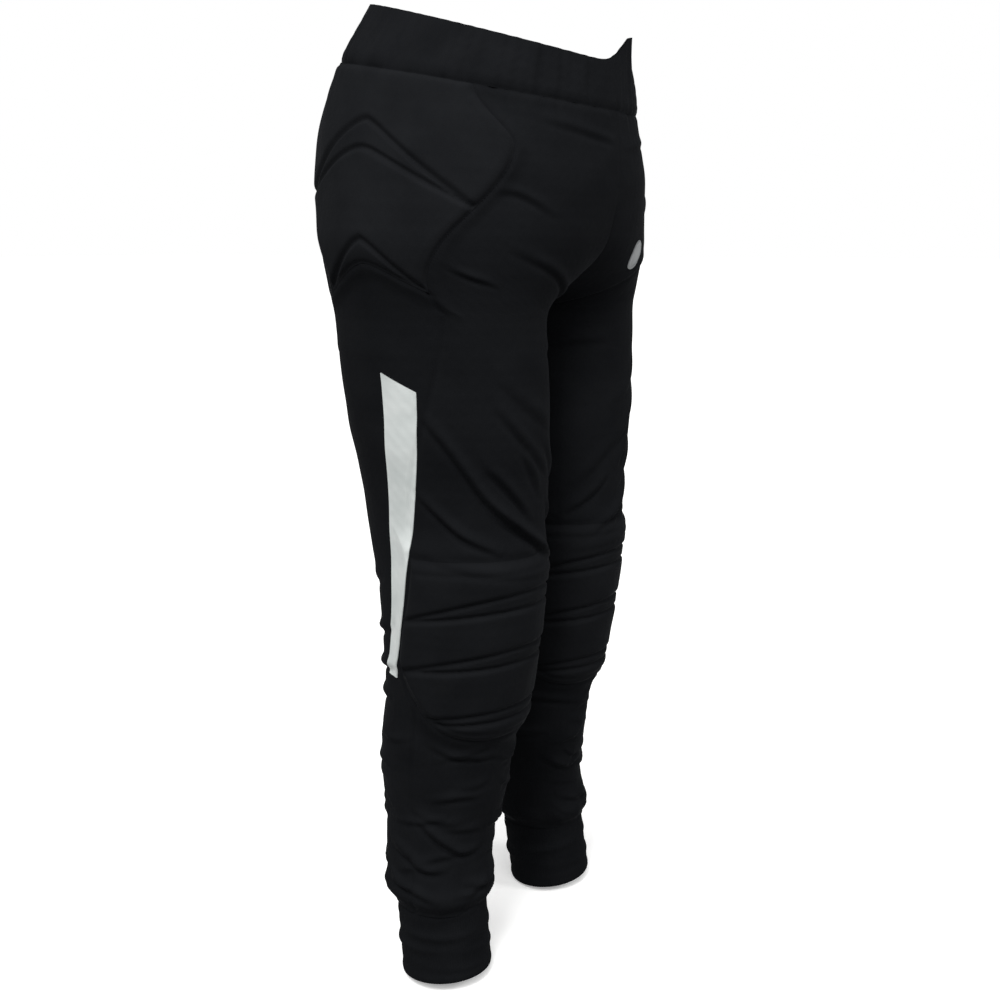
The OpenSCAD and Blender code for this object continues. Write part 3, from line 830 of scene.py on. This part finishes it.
def knit(name, light, dark, rough, sheen, loop_mm, bump, wear=0.5):
    """A knitted cloth: coarsened loops in rows, soft mottling in colour, and fuzz as sheen."""
    made, tree, shader = new_finish(name)
    place = add(tree, "ShaderNodeUVMap", uv_map="cloth_metres").outputs["UV"]
    wavy = {"Vector": place, "Detail": 1.0, "Detail Scale": 3.0}
    column = add(tree, "ShaderNodeTexWave",
                 {**wavy, "Scale": band_scale(loop_mm), "Distortion": 0.6},
                 bands_direction="X").outputs["Fac"]
    row = add(tree, "ShaderNodeTexWave",
              {**wavy, "Scale": band_scale(loop_mm * LOOP_TALLER), "Distortion": 0.9},
              bands_direction="Y").outputs["Fac"]
    stitch = add(tree, "ShaderNodeMath", {0: column, 1: row}, operation="MULTIPLY").outputs[0]
    # Fibres make specks a little finer than a loop.
    fibre = add(tree, "ShaderNodeTexNoise",
                {"Vector": place, "Scale": 1.3 / (loop_mm * MM), "Detail": 3.0,
                 "Roughness": 0.7}).outputs["Fac"]
    cloud = add(tree, "ShaderNodeTexNoise", {"Vector": place, "Scale": 22.0, "Detail": 4.0,
                "Roughness": 0.55}).outputs["Fac"]
    pile = add(tree, "ShaderNodeMath", {0: stitch, 1: fibre}, operation="ADD").outputs[0]
    blend = add(tree, "ShaderNodeMath", {0: fibre, 1: 0.45, 2: 0.0},
                operation="MULTIPLY_ADD").outputs[0]
    blend = add(tree, "ShaderNodeMath", {0: cloud, 1: wear, 2: blend},
                operation="MULTIPLY_ADD").outputs[0]
    two_tone(tree, blend, dark, light, 0.25, 0.72)
    bumped = add(tree, "ShaderNodeBump",
                 {"Height": pile, "Strength": bump, "Distance": LOOP_DEEP})
    tree.links.new(bumped.outputs["Normal"], shader.inputs["Normal"])
    shader.inputs["Roughness"].default_value = rough
    shader.inputs["Specular IOR Level"].default_value = 0.02
    shader.inputs["Sheen Weight"].default_value = sheen
    shader.inputs["Sheen Roughness"].default_value = 0.45
    shader.inputs["Sheen Tint"].default_value = colour("#c8ccd4")
    return made


jersey = knit("brushed polyester jersey", "#191a1c", "#101113", 0.95, 0.004, 1.6, 0.6)
# The pad covers are the same knit with a smoother face, so they shine a little more.
# Their colours are also painted a touch lighter than the jersey's: painted light, for the brighter
# hip.
cover_knit_painted_lighter = knit("smooth faced jersey over foam painted lighter", "#1b1c1e", "#121315", 0.90, 0.006, 1.6, 0.6)
band_knit = knit("double jersey waistband", "#191a1c", "#101113", 0.95, 0.004, 1.4, 0.6)
ribbing = knit("ribbed polyester knit", "#18191b", "#0f1012", 0.95, 0.004, 1.8, 0.7)
mesh_cloth = knit("polyester mesh lining", "#3a3c40", "#1c1d20", 0.75, 0.05, 2.4, 1.0)
elastic_knit = knit("knitted elastic", "#6d7074", "#54575b", 0.7, 0.05, 2.0, 0.9)
print("cloth finishes made: 6")

# %% [markdown]
# ## Tape, badge and foam
# The side tape is a white woven polyester ribbon, with a fine twill that is drawn coarser too, and
# a slightly soiled face.
# The badge is moulded rubber in grey, with a satin surface. The foam is closed-cell EVA, which
# shows tiny cut cells.


# %% Woven tape
tape_weave, tree, shader = new_finish("woven polyester tape")
place = add(tree, "ShaderNodeUVMap", uv_map="cloth_metres").outputs["UV"]
TWILL_MM, TWILL_SLANT = 1.5, math.radians(35)
slant = add(tree, "ShaderNodeMapping",
            {"Vector": place, "Rotation": (0, 0, TWILL_SLANT)}).outputs[0]
twill = add(tree, "ShaderNodeTexWave",
            {"Vector": slant, "Scale": band_scale(TWILL_MM), "Distortion": 0.3}).outputs["Fac"]
dirt = add(tree, "ShaderNodeTexNoise",
           {"Vector": place, "Scale": 30.0, "Detail": 5.0}).outputs["Fac"]
two_tone(tree, dirt, "#c0c6c4", "#dbdfdd", 0.3, 0.75)
raised = add(tree, "ShaderNodeBump", {"Height": twill, "Strength": 0.5, "Distance": 0.2 * MM})
tree.links.new(raised.outputs["Normal"], shader.inputs["Normal"])
shader.inputs["Roughness"].default_value = 0.55
shader.inputs["Sheen Weight"].default_value = 0.1


# %% Solid finishes
def moulded(name, light, dark, rough, grain_mm, deep_mm, spotted=False):
    """A moulded or cut solid: fine grain in the surface and a little unevenness in colour."""
    made, tree, shader = new_finish(name)
    place = add(tree, "ShaderNodeTexCoord").outputs["Object"]
    fine = {"Vector": place, "Scale": 1 / (grain_mm * MM)}
    if spotted:
        grain = add(tree, "ShaderNodeTexVoronoi", fine).outputs["Distance"]
    else:
        grain = add(tree, "ShaderNodeTexNoise", {**fine, "Detail": 3.0}).outputs["Fac"]
    cloud = add(tree, "ShaderNodeTexNoise",
                {"Vector": place, "Scale": 60.0, "Detail": 3.0}).outputs["Fac"]
    two_tone(tree, cloud, dark, light, 0.35, 0.7)
    bumped = add(tree, "ShaderNodeBump",
                 {"Height": grain, "Strength": 0.5, "Distance": deep_mm * MM})
    tree.links.new(bumped.outputs["Normal"], shader.inputs["Normal"])
    shader.inputs["Roughness"].default_value = rough
    return made


foam_cut = moulded("closed cell EVA foam", "#5a5c60", "#4a4c50", 0.9, 1.2, 0.3, spotted=True)
badge_rubber = moulded("moulded rubber badge", "#6f7274", "#5e6163", 0.45, 0.6, 0.05)
print("solid finishes made: 2, and one woven tape")

# %% [markdown]
# ## Where the cloth would bend
# The upper pieces are made for the hip and the lower pieces for the knee, but neither is bent:
# the helpers only bake each piece's place into its mesh.

# %% Bending helpers
SIDES = (("right", 0), ("left", 1))


def bend_at_hip(piece):
    """Bakes the piece's place into its mesh; the piece is not bent."""
    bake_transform(piece)


def bend_at_knee(piece):
    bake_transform(piece)


def finished(piece, joint, nodes):
    """Bakes a piece into place, or hangs it on its body, and hides the CAD nodes it stands for."""
    if joint == "hip":
        bend_at_hip(piece)
    elif joint == "knee":
        bend_at_knee(piece)
    else:
        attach(piece, joint)
    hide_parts(*nodes)
    return piece


# %% [markdown]
# ## The body of each leg
# Front and back pieces meet at the side seam and at the inseam. Each is made as an upper and a
# lower piece, because one sheet can bend across only one joint: they join under the knee's top
# seam. The body cloth also runs under the hip and knee covers as their backing, as it does on
# trousers whose foam is laid between two layers.

# %% Edges shared by neighbouring pieces
HEM_TUCK = 0.004


def cloth_split(drop):
    """The side seam, and above it the line under the hip cover where front and back join."""
    return mix(0.47, side_seam(drop), ramp((drop - 0.19) / (HIP_FOOT - 0.19)))


def at_turn(turn):
    return lambda drop: np.full(np.shape(drop), turn)


def at_drop(drop):
    return lambda turn: np.full(np.shape(turn), drop)


BACKING = -1.2 * MM


def body_height(leg):
    """Relief of the body cloth: under a cover it drops to the tube, to leave room for the foam."""
    def height(turn, drop):
        under = ramp(np.maximum(inside_hip(turn, drop), inside_knee(turn, drop)) / (7 * MM))
        return mix(relief(turn, drop, leg), BACKING, under)
    return height


# %% The four body pieces of each leg
cuff_meet = CUFF_TOP + HEM_TUCK
upper, lower = (at_drop(BAND_H), at_drop(KNEE_TOP)), (at_drop(KNEE_TOP), at_drop(cuff_meet))
body_pieces = (
    ("front_upper", (at_turn(0.0), cloth_split, *upper), "hip",
     ("seat_front", "groin_front", "thigh_front")),
    ("back_upper", (cloth_split, at_turn(1.0), *upper), "hip",
     ("seat_back", "seat_side", "groin_back", "thigh_back")),
    ("front_lower", (at_turn(0.0), at_turn(SIDE_TURN), *lower), "knee",
     ("thigh_front", "shin_front")),
    ("back_lower", (at_turn(SIDE_TURN), at_turn(1.0), *lower), "knee",
     ("thigh_back", "knee_hollow", "calf")),
)
BODY_SPACING = 0.0030
for side, leg in SIDES:
    for name, edges, joint, nodes in body_pieces:
        piece = cloth_piece(f"{name}_{side}", leg, edges, BODY_SPACING, body_height(leg), jersey)
        as_sheet(piece)
        finished(piece, joint,
                 [f"{n}_{side}" for n in nodes])

# %% [markdown]
# ## The padded covers
# The hip cover is one piece from the waistband to the lower chevron. The knee cover wraps the
# front half of the leg. Each is cut from the same knit and quilted through the foam along pairs
# of lines.

# %% Stuffing a cover by simulation
COVER_T, CAP, SINK = 1.2 * MM, 2.2 * MM, 0.5 * MM
COVER_SPACING = 2.2 * MM
SIM_FRAMES, SMOOTH_PASSES = 16, 12


def stuffed(points, normals, held, name):
    """Blows a grid of points up a little with Cloth, holding its sewn lines, and returns the grid.

    held is 1 where the cloth is sewn down and 0 where it is free. No point moves further out than
    CAP, or further in than the foam lets it. The move is smoothed, because a cover over firm foam
    has no small creases.
    """
    rows, cols = points.shape[:2]
    at = np.arange(rows * cols).reshape(rows, cols)
    faces = np.stack([at[:-1, :-1], at[1:, :-1], at[1:, 1:], at[:-1, 1:]], -1).reshape(-1, 4)
    mesh = bpy.data.meshes.new(name)
    mesh.from_pydata(points.reshape(-1, 3).tolist(), [], faces.tolist())
    form = bpy.data.objects.new(name, mesh)
    bpy.context.scene.collection.objects.link(form)
    pins = form.vertex_groups.new(name="sewn")
    for index, weight in enumerate(held.ravel()):
        pins.add([index], float(weight), "REPLACE")
    cloth = form.modifiers.new("cloth", "CLOTH")
    cloth.settings.quality = 6
    cloth.settings.mass = 0.25
    cloth.settings.tension_stiffness = cloth.settings.compression_stiffness = 12
    cloth.settings.bending_stiffness = 2.0
    cloth.settings.use_pressure = True
    cloth.settings.uniform_pressure_force = 3.0
    cloth.settings.effector_weights.gravity = 0
    cloth.settings.vertex_group_mass = "sewn"
    cloth.collision_settings.use_collision = False
    scene = bpy.context.scene
    for frame_number in range(1, SIM_FRAMES + 1):
        scene.frame_set(frame_number)
    shape = form.evaluated_get(bpy.context.evaluated_depsgraph_get()).to_mesh()
    moved = np.zeros(len(shape.vertices) * 3, np.float32)
    shape.vertices.foreach_get("co", moved)
    scene.frame_set(1)
    bpy.data.objects.remove(form)
    bpy.data.meshes.remove(mesh)
    shift = moved.reshape(rows, cols, 3).astype(float) - points
    out = (shift * normals).sum(-1, keepdims=True)
    sideways = shift - out * normals
    slid = np.linalg.norm(sideways, axis=-1, keepdims=True)
    sideways *= np.minimum(1, CAP / np.maximum(slid, 1e-9))
    most, usual = out.max() / MM, np.median(out) / MM
    print(f"  {name}: moved out up to {most:.1f} mm, half of it by {usual:.1f} mm")
    shift = sideways + normals * np.clip(out, -SINK, CAP)
    for _ in range(SMOOTH_PASSES):
        shift[1:-1, 1:-1] = (shift[:-2, 1:-1] + shift[2:, 1:-1]
                             + shift[1:-1, :-2] + shift[1:-1, 2:]) / 4
    return points + shift * (1 - held[..., None])


# %% A cover piece
def cover_piece(name, leg, edges, held, joint, nodes, lift):
    """A padded cover: its relief, stuffed by simulation, as a closed mesh."""
    def height(turn, drop):
        return relief(turn, drop, leg) + lift

    def stuff(points, turn, drop):
        side_normals = facing(tube_point, turn, drop) * (np.array([-1, 1, 1]) if leg else 1)
        return stuffed(points, side_normals, held(turn, drop), name + "_form")

    piece = cloth_piece(name, leg, edges, COVER_SPACING, height, cover_knit_painted_lighter,
                        thick=COVER_T, shape=stuff)
    return finished(piece, joint, nodes)


def sewn(turn, drop, lines, inside):
    """1 on the sewn lines and edges of a panel, falling to 0 over a few millimetres."""
    girth = girth_at(drop)
    d = np.maximum(inside(turn, drop), 0)
    for line in lines:
        for part in (0, 1):
            d = np.minimum(d, np.abs(to_drop(turn, drop, lambda u: line(u)[part], girth)))
    return np.exp(-(d / (2.6 * MM)) ** 2) ** 0.5


# %% Hip and knee covers
LIFT = 0.4 * MM
for side, leg in SIDES:
    edges = (hip_front, hip_rear, at_drop(BAND_H + 0.001), lambda u: hip_line_2(u)[1])
    cover_piece(f"hip_cover_{side}", leg, edges,
                lambda u, d: sewn(u, d, (hip_line_1, hip_line_2), inside_hip),
                "hip", [f"hip_panel_{side}"], LIFT)
    edges = (at_turn(0.0), knee_side, at_drop(KNEE_TOP), knee_foot)
    cover_piece(f"knee_cover_{side}", leg, edges,
                lambda u, d: np.maximum(sewn(u, d, KNEE_LINES, inside_knee), 1 - ramp(u / 0.06)),
                "knee", [f"knee_panel_upper_{side}", f"knee_panel_lower_{side}"], LIFT)

# %% [markdown]
# ## Foam and lining
# Foam is cut to each space between quilting lines and thinned at its edges. A mesh lining lies
# inside it against the wearer. Only the openings show them, but they carry the garment's shape.

# %% Foam pieces
SEWN_MARGIN = 4 * MM
# The foam is thin at its sewn edges, grows to its height over a slope, and stays under the cover.
FOAM_EDGE, FOAM_SLOPE, FOAM_ROOM, FOAM_BED = 0.4 * MM, 14 * MM, 4.4 * MM, 0.8 * MM
FOAM_SPACING = 0.006


def foam_piece(name, leg, edges, full, joint, node, tapers=False):
    """A slab of foam on the backing cloth, as high as full at its middle and thin at its edges."""
    left, right, top, foot = edges

    def height(turn, drop):
        girth = girth_at(drop)
        d = np.minimum(turn - left(drop), right(drop) - turn) * girth
        d = np.minimum(d, np.minimum(drop - top(turn), foot(turn) - drop))
        thin = knee_thin(turn) if tapers else 1
        return (FOAM_EDGE + (full - FOAM_ROOM) * ramp(d / FOAM_SLOPE)) * thin

    piece = cloth_piece(name, leg, edges, FOAM_SPACING, height, foam_cut,
                        base=lambda u, d: 0 * u - FOAM_BED)
    return finished(piece, joint, [node])


def inset(line, part, by):
    return lambda turn: line(turn)[part] + by


def hip_side(edge, by):
    return lambda drop: edge(drop) + by


HIP_FOAMS = {"upper": (at_drop(BAND_H + 0.006), inset(hip_line_1, 0, -SEWN_MARGIN)),
             "lower": (inset(hip_line_1, 1, SEWN_MARGIN), inset(hip_line_2, 0, -SEWN_MARGIN))}
KNEE_FOAMS = {1: (at_drop(KNEE_TOP + 0.004), inset(KNEE_LINES[0], 0, -SEWN_MARGIN)),
              2: (inset(KNEE_LINES[0], 1, SEWN_MARGIN), inset(KNEE_LINES[1], 0, -SEWN_MARGIN)),
              3: (inset(KNEE_LINES[1], 1, SEWN_MARGIN), inset(KNEE_LINES[2], 0, -SEWN_MARGIN)),
              4: (inset(KNEE_LINES[2], 1, SEWN_MARGIN / 2), lambda u: knee_foot(u) - 3 * MM)}
# The lower foams are narrower, because the knee panel's foot rises towards the sides.
KNEE_FOAM_TURNS = {1: (0.03, 0.47), 2: (0.03, 0.47), 3: (0.06, 0.45), 4: (0.09, 0.40)}
for side, leg in SIDES:
    for part, (top, foot) in HIP_FOAMS.items():
        edges = (hip_side(hip_front, 0.014), hip_side(hip_rear, -0.014), top, foot)
        foam_piece(f"foam_hip_{part}_{side}", leg, edges, HIP_PAD, "hip",
                   f"hip_foam_{part}_{side}")
    for part, (top, foot) in KNEE_FOAMS.items():
        start, end = KNEE_FOAM_TURNS[part]
        edges = (at_turn(start), at_turn(end), top, foot)
        foam_piece(f"foam_knee_{part}_{side}", leg, edges, KNEE_PAD, "knee",
                   f"knee_foam_{part}_{side}", tapers=True)

# %% Mesh linings
LINING, LINING_GAP, LINING_SPACING = 0.9 * MM, 3.8 * MM, 0.008


def lining_height(turn, drop):
    return np.full(np.broadcast(turn, drop).shape, -LINING_GAP)


for side, leg in SIDES:
    edges = (hip_side(hip_front, 0.006), hip_side(hip_rear, -0.006), at_drop(BAND_H + 0.004),
             inset(hip_line_2, 1, -SEWN_MARGIN))
    piece = cloth_piece(f"lining_hip_{side}", leg, edges, LINING_SPACING, lining_height,
                        mesh_cloth, thick=LINING)
    as_sheet(piece)
    finished(piece, "hip", [f"hip_lining_{side}"])
    edges = (at_turn(0.012), at_turn(SIDE_TURN - 0.006), at_drop(KNEE_TOP + 0.002),
             lambda u: knee_foot(u) - 0.002)
    piece = cloth_piece(f"lining_knee_{side}", leg, edges, LINING_SPACING, lining_height,
                        mesh_cloth, thick=LINING)
    as_sheet(piece)
    finished(piece, "knee",
             [f"knee_lining_upper_{side}", f"knee_lining_lower_{side}"])

# %% [markdown]
# ## Side tape and badge
# The tape is sewn on behind the side seam and drifts back as it narrows towards the knee, where
# the knee's folds swallow its end. It lies on the cloth, so it takes the same relief with its own
# thickness added. A small oval rubber badge sits low on the front of the left thigh.

# %% Tape shape
TAPE_W, TAPE_TOP, TAPE_FOOT, TAPE_SLANT = 0.036, RISE + 0.062, KNEE_DROP + 0.028, 0.33
TAPE_TURN, TAPE_DRIFT, TAPE_END_SHARE, TAPE_PROUD = 0.486, 0.092, 0.50, 1.5 * MM


def tape_run(drop):
    return np.clip((drop - TAPE_TOP) / (TAPE_FOOT - TAPE_TOP), 0, 1)


def tape_edge(sign):
    def edge(drop):
        middle = TAPE_TURN + TAPE_DRIFT * tape_run(drop) ** 1.4
        width = mix(TAPE_W, TAPE_W * TAPE_END_SHARE, ramp(tape_run(drop)))
        return middle + sign * width / girth_at(drop) / 2
    return edge


# %% Tape pieces
for side, leg in SIDES:
    edges = (tape_edge(-1), tape_edge(1), lambda u: TAPE_TOP + (TAPE_TURN - u) * TAPE_SLANT,
             at_drop(TAPE_FOOT))
    piece = cloth_piece(f"tape_side_{side}", leg, edges, 0.0025,
                        lambda u, d: relief(u, d, leg) + TAPE_PROUD, tape_weave, thick=TAPE_PROUD)
    as_sheet(piece)
    finished(piece, "knee", [f"side_tape_{side}"])

# %% Badge
BADGE_TURN, BADGE_HALF, BADGE_TOP, BADGE_L = 0.128, 0.024, RISE - 0.080, 0.034


def badge_reach(drop):
    across = np.clip(1 - ((drop - BADGE_TOP) / BADGE_L * 2 - 1) ** 2, 0.01, 1)
    return BADGE_HALF * np.sqrt(across)


def badge_height(turn, drop):
    """A low dome inside a raised rim."""
    out = np.hypot((turn - BADGE_TURN) / BADGE_HALF, (drop - BADGE_TOP) / BADGE_L * 2 - 1)
    rim = np.exp(-((out - 0.86) / 0.07) ** 2) * 0.5 * MM
    return relief(turn, drop, 1) + 0.7 * MM + rim + 0.3 * MM * np.clip(1 - out**2, 0, 1)


edges = (lambda d: BADGE_TURN - badge_reach(d), lambda d: BADGE_TURN + badge_reach(d),
         at_drop(BADGE_TOP), at_drop(BADGE_TOP + BADGE_L))
badge = cloth_piece("thigh_badge_oval", 1, edges, 0.0008, badge_height, badge_rubber,
                    thick=1.0 * MM)
finished(badge, "hip", ["thigh_badge"])

# %% [markdown]
# ## Waistband and its elastic
# The waistband is a folded strip of the cloth with elastic in it. The elastic is shorter than the
# cloth, so the band gathers into soft upright flutes, and three rows of stitching hold it. Its
# upper edge is not quite level: it curls up at one place on the left of the front.

# %% A ring round both halves of the waist
def waist_ring(drop, height, turns):
    """Points round the whole waist: down the right half from the front, and back up the left."""
    p = turns * 2
    turn = np.where(p <= 1, p, 2 - p)
    right = tube_point(turn, drop) + facing(tube_point, turn, drop) * height[..., None]
    right[..., 0] = np.minimum(right[..., 0], 0)
    sign = np.where(p <= 1, 1.0, -1.0)
    right[..., 0] *= sign
    return right


def ring_normals(points):
    """Unit outward normals of a looped grid, with one spare row above and below."""
    dt = np.roll(points, -1, axis=1) - np.roll(points, 1, axis=1)
    n = np.cross(dt[1:-1], points[2:] - points[:-2])
    return n / np.maximum(np.linalg.norm(n, axis=-1, keepdims=True), 1e-12)


# %% The waistband
def flutes(turns, share):
    """Gathers round the band, strongest between its rows of stitching."""
    wave = (np.sin(turns * 2 * math.pi * 57 + 2.2 * np.sin(turns * 31)) +
            0.6 * np.sin(turns * 2 * math.pi * 83 + 1.4 * np.sin(turns * 17)))
    rows = 1 - 0.55 * sum(np.exp(-((share - at) / 0.035) ** 2) for at in (0.30, 0.52, 0.74))
    return 0.34 * MM * wave * rows


CURL_AT, CURL_HIGH, CURL_RISE, CURL_FALL = 0.956, 0.029, 0.036, 0.013
around, bands = 620, 24
turns, share = np.meshgrid(np.arange(around) / around, np.arange(-1, bands + 2) / bands)
drop = np.clip(share, -0.02, 1.02) * BAND_H
from_curl = (turns - CURL_AT + 0.5) % 1 - 0.5
curl_wide = np.where(from_curl > 0, CURL_RISE, CURL_FALL)
curl = np.exp(-(from_curl / curl_wide) ** 2) * np.clip(1 - share, 0, 1.1) ** 2
# The band's foot is sewn down level with the cloth below it, and a row of stitches runs just above.
foot_row = np.exp(-((share - 0.90) / 0.035) ** 2)
puff = mix(-1.3 * MM, 1.1 * MM, ramp((1 - share) / 0.10)) - 0.7 * MM * foot_row
# Each slack wave is its count round the waist, its height in millimetres, and where it starts.
SLACK = ((9, 0.8, 0.4), (17, 0.55, 2.0), (31, 0.45, 4.4))
waist_angle = turns * 2 * math.pi
slouch = sum(a * MM * np.sin(waist_angle * k + n + 3 * share * np.sin(waist_angle * 3 + n))
             for k, a, n in SLACK)
slouch = slouch * np.sin(math.pi * np.clip(share, 0, 1)) ** 0.7
height = flutes(turns, share) + puff + slouch + 4 * MM * curl
outer = waist_ring(drop, height, turns)
outer[..., 2] += CURL_HIGH * curl
inner = waist_ring(drop, height - 2.6 * MM, turns)
inner[..., 2] += CURL_HIGH * curl
normals = ring_normals(outer)
uv = np.stack(np.meshgrid(np.arange(around + 1) / around,
                          -np.arange(bands + 1) / bands * BAND_H), -1)
band = shell("waistband_gathered", outer[1:-1], inner[1:-1], normals, uv, band_knit, looped=True)
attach(band, "seat")
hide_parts("waistband")

# %% The elastic in it
share = np.clip(share, 0, 1)
drop = mix(0.004, BAND_H - 0.008, share)
ribs = 0.25 * MM * np.sin(share * 2 * math.pi * 9)
outer = waist_ring(drop, ribs - 2.6 * MM + 0 * turns, turns)
inner = waist_ring(drop, ribs - 3.8 * MM + 0 * turns, turns)
waist_elastic_band = shell("waist_elastic_band", outer[1:-1], inner[1:-1], ring_normals(outer), uv,
                           elastic_knit, looped=True)
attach(waist_elastic_band, "seat")
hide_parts("waist_elastic")

# %% [markdown]
# ## Ribbed cuffs
# Each leg ends in a tube of rib knit, which leans with the ankle. Ribs run down it, a fold or two
# rings it where it is pushed up, and an elastic lies inside the hem.

# %% The cuff's own axes
CUFF_WALL, ELASTIC_H, ELASTIC_T = 0.003, 0.030, 0.0012


def cuff_axes(leg):
    """The hem's centre, the direction up the cuff, and two directions across it."""
    way = 1 if leg else -1
    head = Vector((way * STANCE * 0.48, 0.013, -CUFF_TOP))
    hem = Vector((way * STANCE / 2, 0.003, -OUTSEAM))
    up = (head - hem).normalized()
    across = Vector((-1, 0, 0)).cross(up).normalized()
    axes = [np.array(v) for v in (hem, up, across, up.cross(across))]
    return *axes, (head - hem).length


def cuff_ring(leg, round_share, high, radius):
    hem, up, across, other, _ = cuff_axes(leg)
    angle = round_share * 2 * math.pi
    return (hem + up * high[..., None] + across * (radius * np.cos(angle))[..., None]
            + other * (radius * np.sin(angle))[..., None])


# %% Cuff pieces
# The upper end is tucked 6 mm up inside the leg.
RIBS, RIB_HIGH, CUFF_TUCK = 104, 0.16 * MM, 0.006
# Each fold ringing the cuff: its height up the cuff, how far it stands out in millimetres, its
# width, where round the cuff it starts, and how far it swings up and down.
CUFF_FOLDS = ((0.018, 0.9, 0.0040, 1.2, 0.006), (0.032, 1.8, 0.0050, 0.3, 0.007),
              (0.046, 1.3, 0.0040, 3.2, 0.008), (0.058, 2.0, 0.0050, 2.0, 0.006),
              (0.076, 1.6, 0.0045, 4.1, 0.004))
around, rows = RIBS * 5, 46
for side, leg in SIDES:
    length = cuff_axes(leg)[4]
    turns, share = np.meshgrid(np.arange(around) / around, np.arange(-1, rows + 2) / rows)
    high = length * (1 - np.clip(share, -0.01, 1.01)) + CUFF_TUCK * (1 - np.clip(share, 0, 1))
    angle = turns * 2 * math.pi
    pushed = sum(a * MM * np.exp(-((high - at - swing * np.sin(angle + phase + leg)) / wide) ** 2)
                 * (0.6 + 0.4 * np.sin(angle * 2 + phase * 2))
                 for at, a, wide, phase, swing in CUFF_FOLDS)
    rib = RIB_HIGH * np.sin(angle * RIBS)
    hem_roll = 1.0 * MM * np.exp(-((high - 0.004) / 0.004) ** 2)
    tucked = 2.2 * MM * ramp((high - length + 0.004) / 0.008)
    radius = CUFF_DIA / 2 - 0.2 * MM + pushed + rib + hem_roll - tucked
    outer = cuff_ring(leg, turns, high, radius)
    inner = cuff_ring(leg, turns, high, radius - CUFF_WALL + 0.4 * MM)
    uv = np.stack(np.meshgrid(np.arange(around + 1) / around * math.pi * CUFF_DIA,
                              -np.arange(rows + 1) / rows * length), -1)
    cuff = shell(f"ribbed_cuff_{side}", outer[1:-1], inner[1:-1], -ring_normals(outer), uv, ribbing,
                 leg=1, looped=True)
    finished(cuff, f"{side}_shin", [f"cuff_{side}"])
    high = 0.004 + ELASTIC_H * (1 - np.clip(share, -0.01, 1.01))
    radius = CUFF_DIA / 2 - CUFF_WALL - 0.6 * MM + 0 * high
    outer = cuff_ring(leg, turns, high, radius)[:, ::4]
    inner = cuff_ring(leg, turns, high, radius - ELASTIC_T)[:, ::4]
    ring = shell(f"ankle_elastic_band_{side}", outer[1:-1], inner[1:-1], -ring_normals(outer),
                 uv[:, ::4], elastic_knit, leg=1, looped=True)
    finished(ring, f"{side}_shin", [f"ankle_elastic_{side}"])
print("ribs round each cuff:", RIBS)

# %% [markdown]
# ## The size of the whole
# The looks must not change the garment's size. The box of the frame is printed.

# %% Size
print("frame box m:", [[round(c, 3) for c in v] for v in cad_box])
